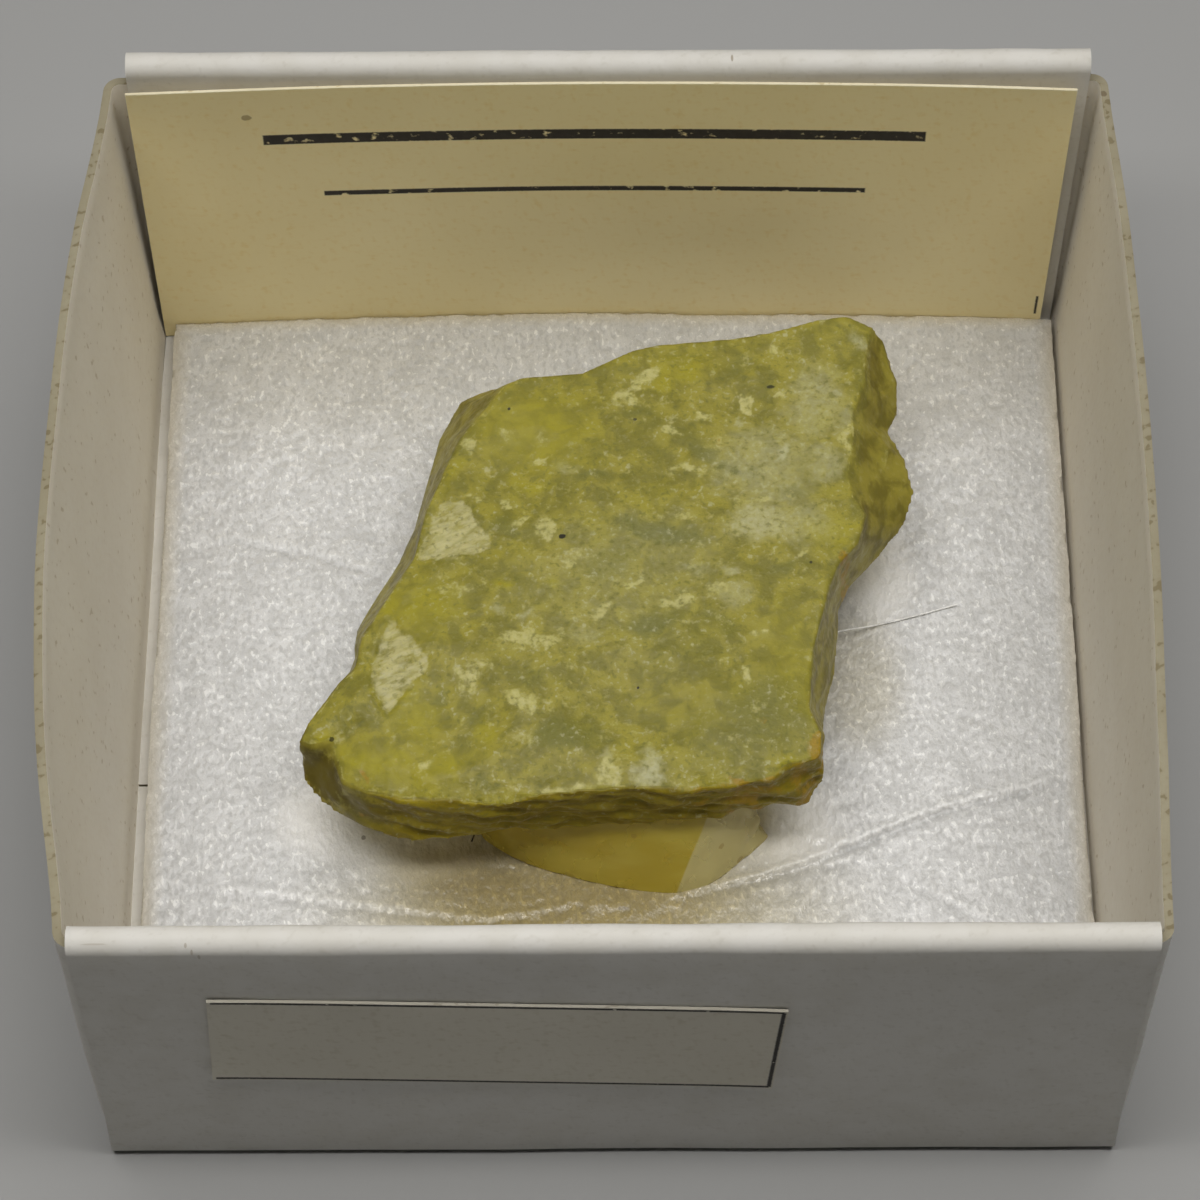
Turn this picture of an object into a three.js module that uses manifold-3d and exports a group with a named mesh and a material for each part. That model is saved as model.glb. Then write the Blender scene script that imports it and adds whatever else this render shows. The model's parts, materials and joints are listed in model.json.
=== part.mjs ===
/**
 * A serpentine specimen glued on a foam pad in a small folded card tray, with its name card and sticker.
 *
 * Millimetres, +Z up. The origin is the middle of the tray's footprint, on the surface that it stands on.
 * The front wall, with the sticker, faces -Y. The name card stands against the back wall.
 */
import * as THREE from "three";
import { mergeVertices } from "three/addons/utils/BufferGeometryUtils.js";
import Module from "manifold-3d";

// Card tray: one die-cut sheet. The front and back walls roll over and come down again as a second layer.
const BOARD = 0.35;
const TRAY_WIDTH = 41;
const TRAY_DEPTH = 42.2;
const TRAY_HEIGHT = 20;
const ROLL_THICKNESS = 1.2;
const SIDE_HEIGHT = 19.3;
const SIDE_FALL = 0.9;
const SIDE_GAP = 0.2;
const FOLD_RADIUS = 0.4;
// How far the top edge of each side wall stands out, at even steps from front to back.
const BOW = { left: [0, 1.2, 1.75, 1.75, 1.35, 0.5], right: [0, 0.35, 0.7, 0.8, 0.7, 0.3] };
const BOW_POWER = 1.5;
const CORNER_RADIUS = 0.5;
const TAB_LENGTH = 9;
const TAB_FOOT = 1.2;
const FLAP_LIFT = 0.1;
const FLAP_SEAM_Y = -4.25;
const FLAP_SEAM_WIDTH = 0.1;

// What lies in the tray and on it.
const FOAM = { width: 40.3, front: -19.5, back: 19.55, thickness: 1.35, x: 0.2 };
const CARD = { width: 40.4, height: 18.3, thickness: 0.2, x: -0.3, face: 19.62, lift: 0.12 };
const EDGE_SWEEP = 0.5;
const STICKER = { width: 22.3, height: 7.4, thickness: 0.12, x: -4.6, z: 11.4, tilt: -2.9, gap: 0.02 };

// Glue: a low lump that spreads on the foam and ends flat under the stone.
const BOND_HEIGHT = 3.2;
const GLUE_SHOULDER = { inset: 0.55, rise: 0.62 };
const GLUE_FOOT = [
  [-5.7, -7.5], [-4.0, -8.7], [-2.0, -9.4], [0.6, -10.1], [2.8, -10.3], [4.2, -9.9], [5.6, -8.7],
  [6.6, -7.6], [6.0, -6.6], [6.2, -3.5], [5.0, -0.2], [2.4, 2.0], [-1.2, 2.4], [-4.2, 0.8], [-6.0, -3.4],
];
const GLUE_TOP = [
  [-5.2, -6.9], [-3.7, -7.9], [-2.0, -8.2], [0.6, -8.3], [3.9, -8.2], [4.4, -8.0], [5.0, -7.5],
  [5.5, -6.9], [5.4, -6.0], [5.4, -3.4], [4.3, -0.8], [2.1, 1.1], [-1.1, 1.4], [-3.8, 0.1], [-5.3, -3.5],
];

// Stone: the rim of the top face, and the foot of the side face under it, from the left tip clockwise.
// Each row is rim x, y, z and then foot x, y, z, with z above the underside of the tray.
const STONE_CORNERS = [
  [-13.0, -6.3, 8.6, -13.0, -6.5, 7.0],
  [-12.6, -5.5, 8.8, -12.5, -5.3, 6.5],
  [-11.4, -3.8, 9.1, -11.5, -3.4, 6.4],
  [-10.7, -3.1, 9.2, -10.9, -1.3, 6.9],
  [-10.5, -1.8, 9.3, -10.8, -0.1, 7.1],
  [-8.3, 2.0, 9.5, -9.1, 3.4, 6.8],
  [-7.8, 4.4, 9.6, -8.5, 5.2, 6.5],
  [-6.4, 7.9, 9.7, -7.5, 9.8, 6.5],
  [-5.2, 9.6, 9.7, -6.6, 11.6, 6.8],
  [-4.5, 10.6, 9.7, -5.2, 12.0, 7.1],
  [-3.8, 11.0, 9.7, -3.9, 12.1, 6.5],
  [-1.2, 11.2, 9.7, -1.2, 12.4, 6.2],
  [1.0, 12.3, 9.8, 0.9, 13.2, 6.1],
  [2.1, 12.6, 9.8, 2.4, 13.6, 6.1],
  [5.4, 12.9, 9.8, 5.6, 14.0, 6.2],
  [7.2, 13.2, 9.9, 7.3, 14.1, 6.4],
  [9.1, 13.8, 9.9, 9.1, 14.8, 6.6],
  [10.4, 14.0, 9.9, 10.7, 14.7, 6.9],
  [11.9, 13.4, 9.6, 12.2, 13.7, 7.9],
  [11.6, 12.3, 9.8, 12.7, 11.8, 7.6],
  [11.0, 10.5, 9.9, 12.7, 10.7, 7.2],
  [10.4, 8.8, 9.9, 12.2, 9.6, 7.4],
  [10.5, 7.9, 9.9, 12.9, 8.3, 7.2],
  [10.1, 5.9, 9.8, 13.3, 6.8, 6.8],
  [10.3, 4.8, 9.8, 12.8, 5.4, 6.4],
  [10.9, 4.0, 9.7, 11.7, 4.0, 6.2],
  [10.5, 2.6, 9.7, 10.9, 3.1, 6.2],
  [9.6, 1.5, 9.7, 10.3, 2.3, 6.4],
  [9.2, 0.5, 9.7, 9.8, 1.1, 6.5],
  [8.4, -2.7, 9.6, 9.6, -1.7, 6.4],
  [8.2, -5.4, 9.5, 9.1, -3.6, 6.6],
  [8.7, -6.4, 9.4, 8.8, -6.2, 7.4],
  [8.6, -7.4, 9.2, 8.9, -7.2, 6.6],
  [7.2, -7.9, 9.2, 8.2, -8.0, 6.2],
  [6.4, -8.5, 9.1, 6.8, -8.1, 6.2],
  [3.3, -8.9, 9.1, 4.4, -8.5, 5.9],
  [0.8, -8.8, 9.2, 1.6, -8.7, 5.8],
  [-2.8, -9.1, 9.1, -2.0, -8.8, 5.7],
  [-4.7, -9.5, 8.8, -5.3, -9.1, 5.7],
  [-6.4, -9.2, 8.8, -6.9, -9.4, 5.7],
  [-8.3, -9.1, 8.7, -8.3, -9.4, 5.7],
  [-10.1, -8.7, 8.5, -9.9, -9.0, 5.8],
  [-11.2, -8.1, 8.4, -11.3, -8.4, 5.9],
  [-11.5, -7.1, 8.5, -12.2, -7.8, 6.1],
  [-11.6, -6.6, 8.6, -12.9, -7.0, 6.4],
  [-12.4, -6.6, 8.6, -13.0, -6.7, 6.8],
];
const STONE_TOP = { x: -0.5, y: 1.5, z: 9.85 };
const STONE_BOND = { x: 0.3, y: -3.1, halfWidth: 6.1, halfDepth: 5.3 };
const TOP_RINGS = [0.22, 0.44, 0.64, 0.8, 0.92, 0.975];
const SIDE_RINGS = [0.08, 0.36, 0.7];
const BELLY_RINGS = [0.12, 0.45, 0.75];
const TOP_ROLL_OFF = 6;
const BELLY_POWER = 1.6;
const CORNER_STEPS = 2;
// Roughness of the broken faces, in mm, and the three waves that make it, in radians per mm.
const GRAIN = { top: 0.05, side: 0.16, waves: [[2.1, 1.7, 0], [0, 3.3, -2.4], [2.9, 0, 4.1]] };

const SIDES = { left: -1, right: 1 };
const ARC_PARTS = 6;
const SIDE_PARTS = 20;
const HEIGHT_PARTS = 8;
const SWEEP_PARTS = 16;
const FLOOR = 2 * BOARD + FLAP_LIFT;
const FOAM_TOP = FLOOR + FOAM.thickness;
const BOND_Z = FOAM_TOP + BOND_HEIGHT;
const WALL_Y = TRAY_DEPTH / 2 - BOARD / 2;
const WALL_X = TRAY_WIDTH / 2 + SIDE_GAP + BOARD / 2;
const TAB_Y = TRAY_DEPTH / 2 - ROLL_THICKNESS / 2;
const CORNER_X = WALL_X - CORNER_RADIUS;
const CORNER_Y = TAB_Y - CORNER_RADIUS;
const QUARTER = Math.PI / 2;

const wasm = await Module();
wasm.setup();

/** A closed mesh with its shared points merged and its faces turned outwards. */
function closed(geometry) {
  geometry.deleteAttribute("normal");
  geometry.deleteAttribute("uv");
  const merged = mergeVertices(geometry);
  const index = merged.index.array;
  const corners = [new THREE.Vector3(), new THREE.Vector3(), new THREE.Vector3()];
  let volume = 0;
  for (let i = 0; i < index.length; i += 3) {
    corners.forEach((corner, k) => corner.fromBufferAttribute(merged.attributes.position, index[i + k]));
    volume += corners[0].dot(corners[1].cross(corners[2]));
  }
  if (volume < 0) {
    for (let i = 0; i < index.length; i += 3) {
      [index[i], index[i + 1]] = [index[i + 1], index[i]];
    }
  }
  return merged;
}

function solid(geometry) {
  const mesh = closed(geometry);
  return new wasm.Manifold(new wasm.Mesh({
    numProp: 3,
    vertProperties: new Float32Array(mesh.attributes.position.array),
    triVerts: new Uint32Array(mesh.index.array),
  }));
}

function geometryOf(manifold) {
  const mesh = manifold.getMesh();
  const geometry = new THREE.BufferGeometry();
  geometry.setAttribute("position", new THREE.BufferAttribute(mesh.vertProperties, 3));
  geometry.setIndex(new THREE.BufferAttribute(mesh.triVerts, 1));
  return geometry;
}

function moveEach(geometry, place) {
  const position = geometry.attributes.position;
  for (let i = 0; i < position.count; i += 1) {
    position.setXYZ(i, ...place(position.getX(i), position.getY(i), position.getZ(i)));
  }
  return geometry;
}

/** Points along a folded strip seen from its edge. A step goes straight ahead, or turns on a radius. */
function folded(x, y, steps) {
  const points = [{ x, y, heading: 0 }];
  steps.forEach(({ ahead = 0, parts = ARC_PARTS, turn = 0, radius = 0 }) => {
    const bend = turn / parts;
    const chord = turn ? 2 * radius * Math.sin(Math.abs(bend) / 2) : ahead / parts;
    for (let i = 0; i < parts; i += 1) {
      const from = points[points.length - 1];
      const way = from.heading + bend / 2;
      const next = { x: from.x + chord * Math.cos(way), y: from.y + chord * Math.sin(way) };
      points.push({ ...next, heading: from.heading + bend });
    }
  });
  return points;
}

function straight(ahead, parts = 1) {
  return { ahead, parts };
}

/** A strip of board whose middle follows points; place turns path a, path b and across into x, y, z. */
function strip(points, width, steps, place) {
  const last = points.length - 1;
  const board = new THREE.BoxGeometry(last, BOARD, width, last, 1, steps);
  return moveEach(board, (x, offset, across) => {
    const at = points[Math.round(x + last / 2)];
    return place(at.x - Math.sin(at.heading) * offset, at.y + Math.cos(at.heading) * offset, across);
  });
}

/** The rim of the base, outer wall, roll, inner wall and floor flap, as one strip seen from its end. */
function rolledWall(facing, flapEnd) {
  const roll = (ROLL_THICKNESS - BOARD) / 2;
  const inner = WALL_Y - 2 * roll;
  const rollZ = TRAY_HEIGHT - BOARD / 2 - roll;
  const baseZ = BOARD / 2;
  const flapZ = FLOOR - BOARD / 2;
  const points = folded(CORNER_Y, baseZ, [
    straight(WALL_Y - FOLD_RADIUS - CORNER_Y),
    { turn: QUARTER, radius: FOLD_RADIUS },
    straight(rollZ - baseZ - FOLD_RADIUS),
    { turn: 2 * QUARTER, radius: roll },
    straight(rollZ - flapZ - FOLD_RADIUS),
    { turn: -QUARTER, radius: FOLD_RADIUS },
    straight(inner - FOLD_RADIUS - flapEnd),
  ]);
  return strip(points, TRAY_WIDTH, 1, (a, b, across) => [across, facing * a, b]);
}

/** How far a side wall stands out at a height and a place along it. */
function bow(side, y, z) {
  const edge = new THREE.SplineCurve(BOW[side].map((out, i) => new THREE.Vector2(i, out)));
  const along = THREE.MathUtils.clamp((y + CORNER_Y) / (2 * CORNER_Y), 0, 1);
  const rise = (z - TAB_FOOT) / (SIDE_HEIGHT - TAB_FOOT);
  return SIDES[side] * edge.getPoint(along).y * rise ** BOW_POWER;
}

/** A single side wall with the tabs at its ends, which turn in between the layers of the rolled walls. */
function sideWall(side) {
  const corner = { turn: QUARTER, radius: CORNER_RADIUS };
  const points = folded(CORNER_X - TAB_LENGTH, -TAB_Y, [
    straight(TAB_LENGTH),
    corner,
    straight(2 * CORNER_Y, SIDE_PARTS),
    corner,
    straight(TAB_LENGTH),
  ]);
  const middle = (SIDE_HEIGHT + TAB_FOOT) / 2;
  return strip(points, SIDE_HEIGHT - TAB_FOOT, HEIGHT_PARTS, (a, b, across) => {
    const fall = (SIDE_FALL * (b + TAB_Y)) / (2 * TAB_Y);
    const level = Math.max(middle + across, TAB_FOOT);
    const z = level - (fall * (level - TAB_FOOT)) / (SIDE_HEIGHT - TAB_FOOT);
    return [SIDES[side] * a + bow(side, b, z), b, z];
  });
}

/** The base, folded up along both sides as far as the side walls' bowed part. */
function base() {
  const fold = { turn: QUARTER, radius: FOLD_RADIUS };
  const foldX = WALL_X - FOLD_RADIUS;
  const foot = TAB_FOOT - BOARD / 2 - FOLD_RADIUS;
  const points = folded(0, 0, [
    straight(foot),
    fold,
    straight(2 * foldX),
    fold,
    straight(foot),
  ]);
  return strip(points, 2 * CORNER_Y, 1, (a, b, across) => [WALL_X - b, across, TAB_FOOT - a]);
}

function cardTray() {
  const half = FLAP_SEAM_WIDTH / 2;
  const panels = [
    rolledWall(-1, -(FLAP_SEAM_Y - half)),
    rolledWall(1, FLAP_SEAM_Y + half),
    sideWall("left"),
    sideWall("right"),
  ];
  return geometryOf(panels.reduce((whole, panel) => whole.add(solid(panel)), solid(base())));
}

/** How far the name card, and the foam's edge along it, come forward at a place across the tray. */
function sweep(x) {
  return EDGE_SWEEP * ((2 * x) / TRAY_WIDTH) ** 2;
}

function foamPad() {
  const depth = FOAM.back - FOAM.front;
  const middle = (FOAM.back + FOAM.front) / 2;
  const pad = new THREE.BoxGeometry(FOAM.width, depth, FOAM.thickness, SWEEP_PARTS, 1, 1);
  return moveEach(pad, (x, y, z) => {
    const across = x + FOAM.x;
    return [across, middle + y - (y > 0 ? sweep(across) : 0), FLOOR + FOAM.thickness / 2 + z];
  });
}

function nameCard() {
  const card = new THREE.BoxGeometry(CARD.width, CARD.thickness, CARD.height, SWEEP_PARTS, 1, 1);
  return moveEach(card, (x, y, z) => {
    const across = x + CARD.x;
    const height = FLOOR + CARD.lift + CARD.height / 2 + z;
    return [across, CARD.face + CARD.thickness / 2 + y - sweep(across), height];
  });
}

function numberSticker() {
  const label = new THREE.BoxGeometry(STICKER.width, STICKER.thickness, STICKER.height);
  label.rotateY(THREE.MathUtils.degToRad(-STICKER.tilt));
  const y = -TRAY_DEPTH / 2 - STICKER.gap - STICKER.thickness / 2;
  return label.translate(STICKER.x, y, STICKER.z);
}

/** A skin through rings of equal length, from the bottom ring up, closed by a fan at each end. */
function skin(rings) {
  const count = rings[0].length;
  const points = rings.flat();
  const triangles = [];
  const middle = (ring) => ring.reduce((sum, p) => sum.add(p), new THREE.Vector3()).divideScalar(count);
  points.push(middle(rings[0]), middle(rings[rings.length - 1]));
  const top = (rings.length - 1) * count;
  for (let i = 0; i < count; i += 1) {
    const next = (i + 1) % count;
    triangles.push(points.length - 2, next, i, points.length - 1, top + i, top + next);
    for (let row = 0; row < top; row += count) {
      triangles.push(row + i, row + next, row + count + next);
      triangles.push(row + i, row + count + next, row + count + i);
    }
  }
  const geometry = new THREE.BufferGeometry().setFromPoints(points);
  return closed(geometry.setIndex(triangles));
}

function glueBlob() {
  const flat = (outline, z) => outline.map(([x, y]) => new THREE.Vector3(x, y, z));
  const foot = flat(GLUE_FOOT, FOAM_TOP);
  const top = flat(GLUE_TOP, BOND_Z);
  const { inset, rise } = GLUE_SHOULDER;
  const shoulder = foot.map((p, i) => p.clone().lerp(top[i], inset).setZ(FOAM_TOP + BOND_HEIGHT * rise));
  return skin([foot, shoulder, top]);
}

/** A repeatable rough value from -1 to 1 for a point: the mean of three slanting waves. */
function grain(p) {
  return GRAIN.waves.reduce((sum, [x, y, z]) => sum + Math.sin(x * p.x + y * p.y + z * p.z), 0) / GRAIN.waves.length;
}

function stone() {
  const rim = [];
  const foot = [];
  STONE_CORNERS.forEach((corner, i) => {
    const next = STONE_CORNERS[(i + 1) % STONE_CORNERS.length];
    for (let step = 0; step < CORNER_STEPS; step += 1) {
      const part = corner.map((value, k) => value + ((next[k] - value) * step) / CORNER_STEPS);
      rim.push(new THREE.Vector3(...part.slice(0, 3)));
      foot.push(new THREE.Vector3(...part.slice(3)));
    }
  });
  const crown = new THREE.Vector3(STONE_TOP.x, STONE_TOP.y, STONE_TOP.z);
  const bond = foot.map((p) => {
    const angle = Math.atan2(p.y - STONE_BOND.y, p.x - STONE_BOND.x);
    const x = STONE_BOND.x + STONE_BOND.halfWidth * Math.cos(angle);
    return new THREE.Vector3(x, STONE_BOND.y + STONE_BOND.halfDepth * Math.sin(angle), BOND_Z);
  });
  const belly = (t) => foot.map((p, i) => {
    const at = p.clone().lerp(bond[i], t);
    return at.setZ(BOND_Z + (p.z - BOND_Z) * (1 - t) ** BELLY_POWER);
  });
  const face = (t) => foot.map((p, i) => {
    const at = p.clone().lerp(rim[i], t);
    const out = at.clone().sub(crown).setZ(0).normalize();
    return at.addScaledVector(out, GRAIN.side * grain(at));
  });
  const top = (t) => rim.map((p) => {
    const at = crown.clone().lerp(p, t);
    const z = crown.z + (p.z - crown.z) * t ** TOP_ROLL_OFF;
    return at.setZ(z + GRAIN.top * grain(at));
  });
  const rings = [
    bond,
    ...BELLY_RINGS.slice().reverse().map(belly),
    foot,
    ...SIDE_RINGS.map(face),
    rim,
    ...TOP_RINGS.slice().reverse().map(top),
  ];
  return skin(rings);
}

function piece(name, geometry, color, roughness) {
  const mesh = new THREE.Mesh(geometry, new THREE.MeshStandardMaterial({ color, roughness, metalness: 0 }));
  mesh.name = name;
  return mesh;
}

const specimenBox = new THREE.Group();
specimenBox.add(
  piece("card_tray", cardTray(), 0xdcd8cf, 0.6),
  piece("foam_pad", foamPad(), 0xe6e6e4, 0.45),
  piece("name_card", nameCard(), 0xd8cb9a, 0.85),
  piece("number_sticker", numberSticker(), 0xd3cdb8, 0.7),
  piece("glue_blob", glueBlob(), 0xc9b560, 0.25),
  piece("serpentine_rock", stone(), 0x9a9340, 0.4),
);

export default specimenBox;
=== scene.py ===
"""A broken piece of serpentine, glued on a foam pad in a small folded card tray, dressed for its portrait.

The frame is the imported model's: metres, +Z up, the front wall with the sticker facing -Y, and the origin
in the middle of the tray's footprint. Pieces are modelled in millimetres and brought to metres when they
are finished.
"""
import json
import logging
import math
from collections.abc import Callable, Iterator, Sequence
from contextlib import contextmanager
from dataclasses import dataclass
from enum import Enum

import bmesh
import bpy
import numpy as np
from mathutils import Matrix, Vector, noise

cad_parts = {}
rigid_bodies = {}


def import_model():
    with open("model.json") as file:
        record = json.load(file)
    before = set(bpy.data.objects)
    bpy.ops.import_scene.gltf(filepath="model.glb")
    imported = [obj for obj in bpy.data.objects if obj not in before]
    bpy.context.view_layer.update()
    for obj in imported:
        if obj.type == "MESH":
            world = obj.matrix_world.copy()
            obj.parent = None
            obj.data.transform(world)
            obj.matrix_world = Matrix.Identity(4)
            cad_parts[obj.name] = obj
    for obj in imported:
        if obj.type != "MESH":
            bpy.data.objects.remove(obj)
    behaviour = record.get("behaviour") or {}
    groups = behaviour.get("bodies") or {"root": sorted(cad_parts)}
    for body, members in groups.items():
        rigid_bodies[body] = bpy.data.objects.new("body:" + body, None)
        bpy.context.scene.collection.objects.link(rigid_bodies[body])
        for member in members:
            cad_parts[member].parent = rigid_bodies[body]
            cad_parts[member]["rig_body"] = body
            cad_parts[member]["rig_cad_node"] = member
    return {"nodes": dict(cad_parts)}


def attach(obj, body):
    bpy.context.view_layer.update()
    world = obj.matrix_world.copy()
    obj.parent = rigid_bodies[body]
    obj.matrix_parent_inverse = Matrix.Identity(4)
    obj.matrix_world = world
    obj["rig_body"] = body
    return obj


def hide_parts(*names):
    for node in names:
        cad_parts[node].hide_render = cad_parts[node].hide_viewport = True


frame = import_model()

MM = 0.001
HALF_TRAY = 20.5
NEAR = 0.01
Triple = tuple[float, float, float]
Colour = tuple[float, float, float, float]
Bar = tuple[float, float, float, float]
Piece = bpy.types.Object
Socket = bpy.types.NodeSocket
log = logging.getLogger("boxed_serpentine")


class End(Enum):
    """The two rolled walls of the tray, by the way they face along Y."""

    FRONT = -1
    BACK = 1


class Side(Enum):
    """The two single walls of the tray, by the way they face along X."""

    LEFT = -1
    RIGHT = 1


class Pick(Enum):
    """What an edit-mode selection picks."""

    EDGE = "EDGE"
    FACE = "FACE"


class Bench:
    """Hand tools. Each wraps the operators that a modeller would use, on one piece, in millimetres."""

    @staticmethod
    def let_go() -> None:
        """Leaves edit mode and selects nothing."""
        if bpy.context.object and bpy.context.object.mode != "OBJECT":
            bpy.ops.object.mode_set(mode="OBJECT")
        bpy.ops.object.select_all(action="DESELECT")

    @staticmethod
    def take(piece: Piece) -> None:
        """Selects one piece, and nothing else, and makes it active.

        Args:
            piece: the piece to take in hand.
        """
        Bench.let_go()
        piece.select_set(True)
        bpy.context.view_layer.objects.active = piece

    @staticmethod
    def settle(piece: Piece) -> Piece:
        """Puts a piece's place, turn and scale into its mesh.

        Args:
            piece: the piece to settle.

        Returns:
            The same piece.
        """
        Bench.take(piece)
        bpy.ops.object.transform_apply(location=True, rotation=True, scale=True)
        return piece

    @staticmethod
    def grid(
        name: str, cuts: tuple[int, int], size: tuple[float, float], at: Triple, turn: Triple = (0, 0, 0)
    ) -> Piece:
        """Adds a flat sheet of quads at its size and place.

        Args:
            name: the new piece's name.
            cuts: how many quads lie along its width and its depth.
            size: its width and depth.
            at: the middle of the sheet.
            turn: its turn in degrees.

        Returns:
            The sheet, with a UV map that runs from 0 to 1 over it.
        """
        Bench.let_go()
        bpy.ops.mesh.primitive_grid_add(x_subdivisions=cuts[0], y_subdivisions=cuts[1], size=1, location=at)
        sheet = bpy.context.object
        sheet.name, sheet.scale = name, (*size, 1)
        sheet.rotation_euler = [math.radians(a) for a in turn]
        return Bench.settle(sheet)

    @staticmethod
    def copy_of(node: str, name: str) -> Piece:
        """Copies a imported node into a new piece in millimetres, with its loose triangles merged.

        Args:
            node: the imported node's name.
            name: the new piece's name.

        Returns:
            The copy, with a mesh of its own.
        """
        Bench.take(frame["nodes"][node])
        bpy.ops.object.duplicate()
        piece = bpy.context.object
        bpy.ops.object.parent_clear(type="CLEAR")
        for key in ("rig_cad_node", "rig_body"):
            del piece[key]
        piece.name, piece.scale = name, (1 / MM,) * 3
        piece.data.materials.clear()
        Bench.settle(piece)
        with Bench.editing(piece, Pick.FACE):
            bpy.ops.mesh.select_all(action="SELECT")
            bpy.ops.mesh.remove_doubles(threshold=0.002)
        return piece

    @staticmethod
    @contextmanager
    def editing(piece: Piece, pick: Pick = Pick.EDGE) -> Iterator[None]:
        """Opens a piece in edit mode with nothing selected, and closes it again.

        Args:
            piece: the piece to edit.
            pick: what will be selected in it.

        Yields:
            Nothing: the operators act on the open piece.
        """
        Bench.take(piece)
        bpy.ops.object.mode_set(mode="EDIT")
        bpy.ops.mesh.select_mode(type=pick.value)
        bpy.ops.mesh.select_all(action="DESELECT")
        yield
        bpy.ops.object.mode_set(mode="OBJECT")

    @staticmethod
    def choose(piece: Piece, pick: Pick, test: Callable[[list[Vector]], bool]) -> None:
        """Selects the edges or faces of the open piece whose corners pass a test.

        Args:
            piece: the piece that is open in edit mode.
            pick: whether edges or faces are picked.
            test: takes the places of an edge's or a face's corners.
        """
        mesh = bmesh.from_edit_mesh(piece.data)
        bpy.ops.mesh.select_all(action="DESELECT")
        for part in mesh.edges if pick is Pick.EDGE else mesh.faces:
            if test([corner.co for corner in part.verts]):
                part.select_set(True)
        bmesh.update_edit_mesh(piece.data)

    @staticmethod
    def push(by: Triple, steps: int = 1) -> None:
        """Extrudes what is selected along a straight line, in even steps.

        Args:
            by: how far it goes in all.
            steps: how many rows of faces that makes.
        """
        for _ in range(steps):
            part = tuple(value / steps for value in by)
            bpy.ops.mesh.extrude_region_move(TRANSFORM_OT_translate={"value": part})

    @staticmethod
    def turn(degrees: float, centre: Triple, axis: Triple, steps: int = 8) -> None:
        """Extrudes what is selected round an axis.

        Args:
            degrees: how far it turns, by the right-hand rule; the operator counts the other way.
            centre: a point on the axis.
            axis: the direction of the axis.
            steps: how many rows of faces that makes.
        """
        bpy.ops.mesh.spin(steps=steps, angle=-math.radians(degrees), center=centre, axis=axis)

    @staticmethod
    def modify(piece: Piece, kind: str, **settings: object) -> None:
        """Adds a modifier to a piece and applies it.

        Args:
            piece: the piece to change.
            kind: the modifier's type.
            **settings: the modifier's settings.
        """
        modifier = piece.modifiers.new(kind.lower(), kind)
        for name, value in settings.items():
            setattr(modifier, name, value)
        Bench.take(piece)
        bpy.ops.object.modifier_apply(modifier=modifier.name)

    @staticmethod
    def roughen(
        piece: Piece, kind: str, size: float, height: float, group: str = "", **options: object
    ) -> None:
        """Raises and lowers a piece's surface by a procedural texture.

        Args:
            piece: the piece to roughen.
            kind: the texture's type, such as CLOUDS or VORONOI.
            size: the size of its features.
            height: how far the surface moves between its lowest and highest values.
            group: the vertex group that limits it, or nothing.
            **options: more settings, of the texture if it has them and else of the modifier.
        """
        texture = bpy.data.textures.new(f"{piece.name}_{kind.lower()}", kind)
        texture.noise_scale = size
        settings = {}
        for name, value in options.items():
            if hasattr(texture, name):
                setattr(texture, name, value)
            else:
                settings[name] = value
        settings.setdefault("texture_coords", "LOCAL")
        Bench.modify(piece, "DISPLACE", texture=texture, strength=height, vertex_group=group, **settings)

    @staticmethod
    def rows(piece: Piece, what: str) -> np.ndarray:
        """Reads a vector that each of a piece's corners has.

        Args:
            piece: the piece.
            what: the vector's name, co for places and normal for directions.

        Returns:
            One row for each corner.
        """
        flat = np.empty(len(piece.data.vertices) * 3)
        piece.data.vertices.foreach_get(what, flat)
        return flat.reshape(-1, 3)

    @staticmethod
    def points(piece: Piece) -> np.ndarray:
        """The places of a piece's corners, one row each."""
        return Bench.rows(piece, "co")

    @staticmethod
    def normals(piece: Piece) -> np.ndarray:
        """The directions that a piece's corners face, one row each."""
        return Bench.rows(piece, "normal")

    @staticmethod
    def press(piece: Piece, places: np.ndarray) -> None:
        """Moves a piece's corners to new places, as a sculpting stroke would."""
        piece.data.vertices.foreach_set("co", places.ravel())
        piece.data.update()

    @staticmethod
    def weigh(piece: Piece, name: str, weights: np.ndarray, levels: int = 12) -> None:
        """Gives a piece a vertex group.

        Args:
            piece: the piece that gets the group.
            name: the group's name.
            weights: a weight from 0 to 1 for each corner.
            levels: how many steps the weights are rounded to.
        """
        group = piece.vertex_groups.new(name=name)
        rounded = np.rint(np.clip(weights, 0, 1) * levels).astype(int)
        for level in range(1, levels + 1):
            members = np.flatnonzero(rounded == level)
            group.add(members.tolist(), level / levels, "REPLACE")

    @staticmethod
    def paint(piece: Piece, name: str, red: np.ndarray, green: np.ndarray, blue: np.ndarray) -> None:
        """Stores three masks as a colour attribute of a piece's corners.

        Args:
            piece: the piece that gets the attribute.
            name: the attribute's name.
            red: the mask that goes into its red channel.
            green: the mask that goes into its green channel.
            blue: the mask that goes into its blue channel.
        """
        layer = piece.data.attributes.new(name, "FLOAT_COLOR", "POINT")
        rows = np.stack([red, green, blue, np.ones_like(red)], axis=1).astype(np.float32)
        layer.data.foreach_set("color", rows.ravel())

    @staticmethod
    def dress(piece: Piece, *finishes: "Finish") -> None:
        """Gives a piece its materials, in the order of its faces' material numbers."""
        for finish in finishes:
            piece.data.materials.append(finish.material())

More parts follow.
